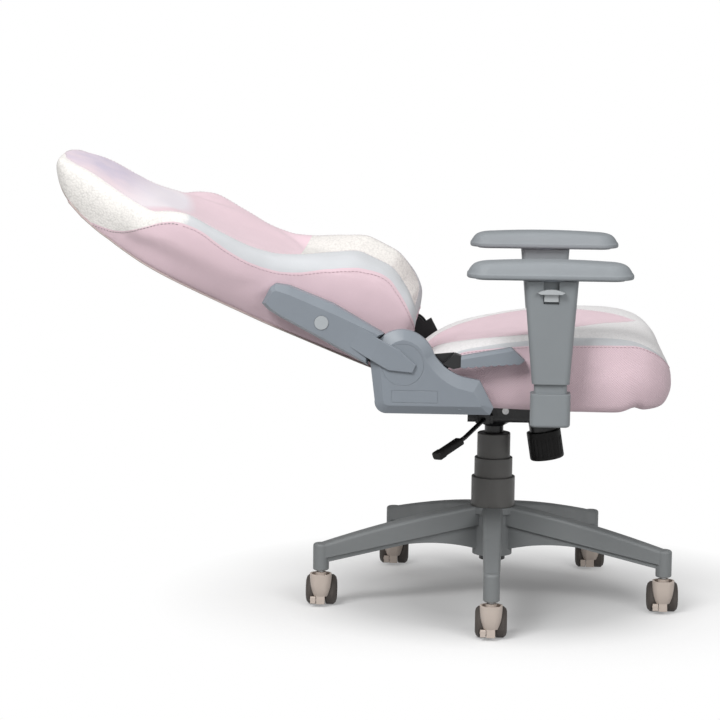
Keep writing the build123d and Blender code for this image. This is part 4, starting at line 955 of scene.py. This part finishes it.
def runs(line, keep):
    """The stretches of a line of (points, normals) where keep is true."""
    points, out = line
    cuts = np.flatnonzero(np.diff(keep.astype(int))) + 1
    pieces = np.split(np.arange(len(points)), cuts)
    return [(points[piece], out[piece]) for piece in pieces if keep[piece[0]] and len(piece) > 2]


def sew():
    """Piping at the rear edge of the back, and top stitching beside the seams."""
    points, out = seam_line(back, BACK_RINGS["edge"])
    cord = tube("back_piping", points + out * 0.4 * MM, out, 1.7 * MM, piping_cord)
    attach(cord, "back")
    side = between(back, BACK_RINGS["band_low"] - 1, 0.3)
    high = (side[0] - HINGE) @ U_DIR > BAND_SPLIT * MM
    sew_row("back_stitching", "back", runs(side, ~high), rose_thread)
    sew_row("head_stitching", "back", runs(side, high), grey_thread)
    sew_row("wing_stitching", "back", [between(back, BACK_RINGS["band_high"], 0.4)], white_thread)
    sew_row("seat_stitching", "seat", [between(seat, SEAT_RINGS["stripe_low"] - 1, 0.3)], rose_thread)
    sew_row("leaf_stitching", "seat", [between(seat, SEAT_RINGS["panel"], 0.3)], white_thread)


sew()
for cover, cover_body in ((seat, "seat"), (back, "back")):
    subdivide(cover)
    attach(cover, cover_body)
    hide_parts(f"{cover_body}_cushion")


# Armrest pads: soft moulded skin, crowned on top and drawn in below

PAD_PLATE = 3
PAD_RIM = 8.5
PAD_CORNER = 25
PAD_ARCH = 6
PAD_CROWN = 4.5
# further in than a pad is wide, so that inward stops on the spine
PAD_MIDDLE = 99


def pad_cover(side):
    """One armrest pad round the node that it stands for, with the plate under it."""
    node = f"armrest_pad_{side}"
    low, high = (np.array(corner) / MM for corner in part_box(node))
    middle = (low + high) / 2
    long, wide = (high - low)[:2] / 2
    cut = PAD_CORNER
    points = [
        (-long, 0), (-long, wide - cut - 6), (4 - long, wide - cut + 7), (cut - 7 - long, wide - 4),
        (cut + 6 - long, wide), (cut + 24 - long, wide), (long - cut - 24, wide), (long - cut - 6, wide),
        (long - cut + 7, wide - 4), (long - 4, wide - cut + 7), (long, wide - cut - 6), (long, 0),
    ]
    edge = half_outline(points, 120)
    spine = np.column_stack((np.clip(edge[:, 0], wide - long, long - wide), np.zeros(len(edge))))
    base, top = low[2] + PAD_PLATE, high[2]
    rim = base + PAD_RIM

    def slope(inset, share):
        """Plan points an inset in from the edge, a share of the way from the rim to the arched top."""
        plan = inward(edge, spine, inset)
        crown = top + PAD_CROWN - PAD_ARCH * (plan[:, 0] / long) ** 2
        return with_height(plan, rim + (crown - rim) * share)

    stops = [
        with_height(inward(edge, spine, PAD_MIDDLE), low[2]),
        with_height(inward(edge, spine, 15), low[2]),
        with_height(inward(edge, spine, 14), base),
        with_height(inward(edge, spine, 2.5), base),
        with_height(inward(edge, spine, 0.4), base + 1.8),
        with_height(edge, base + 4),
        with_height(inward(edge, spine, 0.2), rim - 1.5),
        with_height(inward(edge, spine, 1.6), rim),
        slope(7, 0.5),
        slope(14, 0.82),
        slope(26, 0.97),
        slope(PAD_MIDDLE, 1),
    ]
    stops = np.stack(stops, 1)
    flat = np.ones(len(edge))
    counts = (5, 2, 4, 8, 3, 14)
    seams = [0 * flat, flat, 2 * flat, 3 * flat, 6 * flat, 7 * flat, 11 * flat]
    grid = profile(stops, spread(seams, counts))
    grid[..., :2] += middle[:2]
    skin = moulded(f"pad_skin_{side}", shade(137, 142, 146), rough=0.55, grain=0.09 * MM, wear=0.08)
    piece = shell(f"armrest_pad_skin_{side}", grid, grid, [skin] * len(counts), counts)
    subdivide(piece)
    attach(piece, f"pad_{side}")
    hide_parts(node)


for pad_side in ("right", "left"):
    pad_cover(pad_side)


# Floor, light and camera

FLOOR_HALF = 40
FLOOR_NEAR = 0.25
FLOOR_FAR = 0.62


def floor():
    """White floor that keeps the chair's soft shadow and also has a painted shadow, a darker grey disc
    painted under the chair, and throws little light back up.
    """
    corners = [(x * FLOOR_HALF, y * FLOOR_HALF, 0) for x, y in ((-1, -1), (1, -1), (1, 1), (-1, 1))]
    recipe = Recipe("floor_white")
    path = recipe.add("LightPath")
    seen = recipe.math("ADD", path.outputs["Is Camera Ray"], path.outputs["Is Glossy Ray"], clamp=True)
    reach = recipe.add("VectorMath", {0: recipe.object_place()}, operation="LENGTH").outputs["Value"]
    # Painted shadow: where the camera looks, the floor is painted grey 0.55 out to 0.15 m from the
    # middle, under the chair, fading to the open floor's 0.95 by 0.4 m.
    under, open_floor, bounce = ((grey, grey, grey, 1) for grey in (0.55, 0.95, 0.4))
    floor_with_painted_shadow = recipe.mix(recipe.ramp(reach, 0.15, FLOOR_NEAR + 0.15), under, open_floor)
    recipe.set(Base_Color=recipe.mix(seen, bounce, floor_with_painted_shadow), Roughness=0.9)
    share = recipe.math("MULTIPLY", seen, recipe.ramp(reach, FLOOR_NEAR, FLOOR_FAR, 0.1, 1.0))
    glow = recipe.add("Emission", {"Color": (1, 1, 1, 1), "Strength": 1.0})
    mix = recipe.add("MixShader", {0: share, 1: recipe.shader.outputs[0], 2: glow.outputs[0]})
    recipe.tree.links.new(mix.outputs[0], recipe.tree.nodes["Material Output"].inputs["Surface"])
    mesh_piece("floor", corners, [(0, 1, 2, 3)], recipe.material)


def softbox(name, place, target, size, power):
    """Large square lamp aimed at a point."""
    lamp = bpy.data.lights.new(name, "AREA")
    lamp.shape = "SQUARE"
    lamp.size = size
    lamp.energy = power
    stand = bpy.data.objects.new(name, lamp)
    stand.location = place
    stand.rotation_euler = (Vector(target) - Vector(place)).to_track_quat("-Z", "Y").to_euler()
    bpy.context.scene.collection.objects.link(stand)


def world():
    """White surroundings for the camera and reflections, softer for the light they give."""
    scene_world = bpy.data.worlds.new("studio")
    bpy.context.scene.world = scene_world
    scene_world.use_nodes = True
    tree = scene_world.node_tree
    sky = tree.nodes["Background"]
    sky.inputs["Color"].default_value = (1, 1, 1, 1)
    sky.inputs["Strength"].default_value = 0.25
    bright = tree.nodes.new("ShaderNodeBackground")
    bright.inputs["Color"].default_value = (1, 1, 1, 1)
    bright.inputs["Strength"].default_value = 1.0
    path = tree.nodes.new("ShaderNodeLightPath")
    seen = tree.nodes.new("ShaderNodeMath")
    seen.operation = "ADD"
    seen.use_clamp = True
    tree.links.new(path.outputs["Is Camera Ray"], seen.inputs[0])
    tree.links.new(path.outputs["Is Transmission Ray"], seen.inputs[1])
    mix = tree.nodes.new("ShaderNodeMixShader")
    tree.links.new(seen.outputs[0], mix.inputs[0])
    tree.links.new(sky.outputs[0], mix.inputs[1])
    tree.links.new(bright.outputs[0], mix.inputs[2])
    tree.links.new(mix.outputs[0], tree.nodes["World Output"].inputs["Surface"])


def camera():
    """Camera at the measured place and angle."""
    forward = Vector((
        sin(CAMERA_YAW) * cos(CAMERA_PITCH), cos(CAMERA_YAW) * cos(CAMERA_PITCH), sin(CAMERA_PITCH),
    ))
    level = forward.cross(Vector((0, 0, 1))).normalized()
    above = level.cross(forward)
    right = level * cos(CAMERA_ROLL) + above * sin(CAMERA_ROLL)
    up = above * cos(CAMERA_ROLL) - level * sin(CAMERA_ROLL)
    turn = Matrix((right, up, -forward)).transposed().to_4x4()
    eye = bpy.data.objects.new("camera", bpy.data.cameras.new("camera"))
    eye.data.lens = CAMERA_LENS
    eye.data.sensor_width = 36
    eye.matrix_world = Matrix.Translation(CAMERA_PLACE) @ turn
    bpy.context.scene.collection.objects.link(eye)
    bpy.context.scene.camera = eye


floor()
world()
softbox("key", (-1.9, -3.1, 3.7), (-0.1, 0, 0.5), 2.0, 155)
softbox("fill", (2.3, -3.8, 2.6), (0.1, 0, 0.5), 2.4, 88)
softbox("top", (-0.2, 0.2, 3.6), (-0.1, 0, 0.4), 2.6, 36)
camera()
bpy.context.scene.view_settings.view_transform = "Standard"
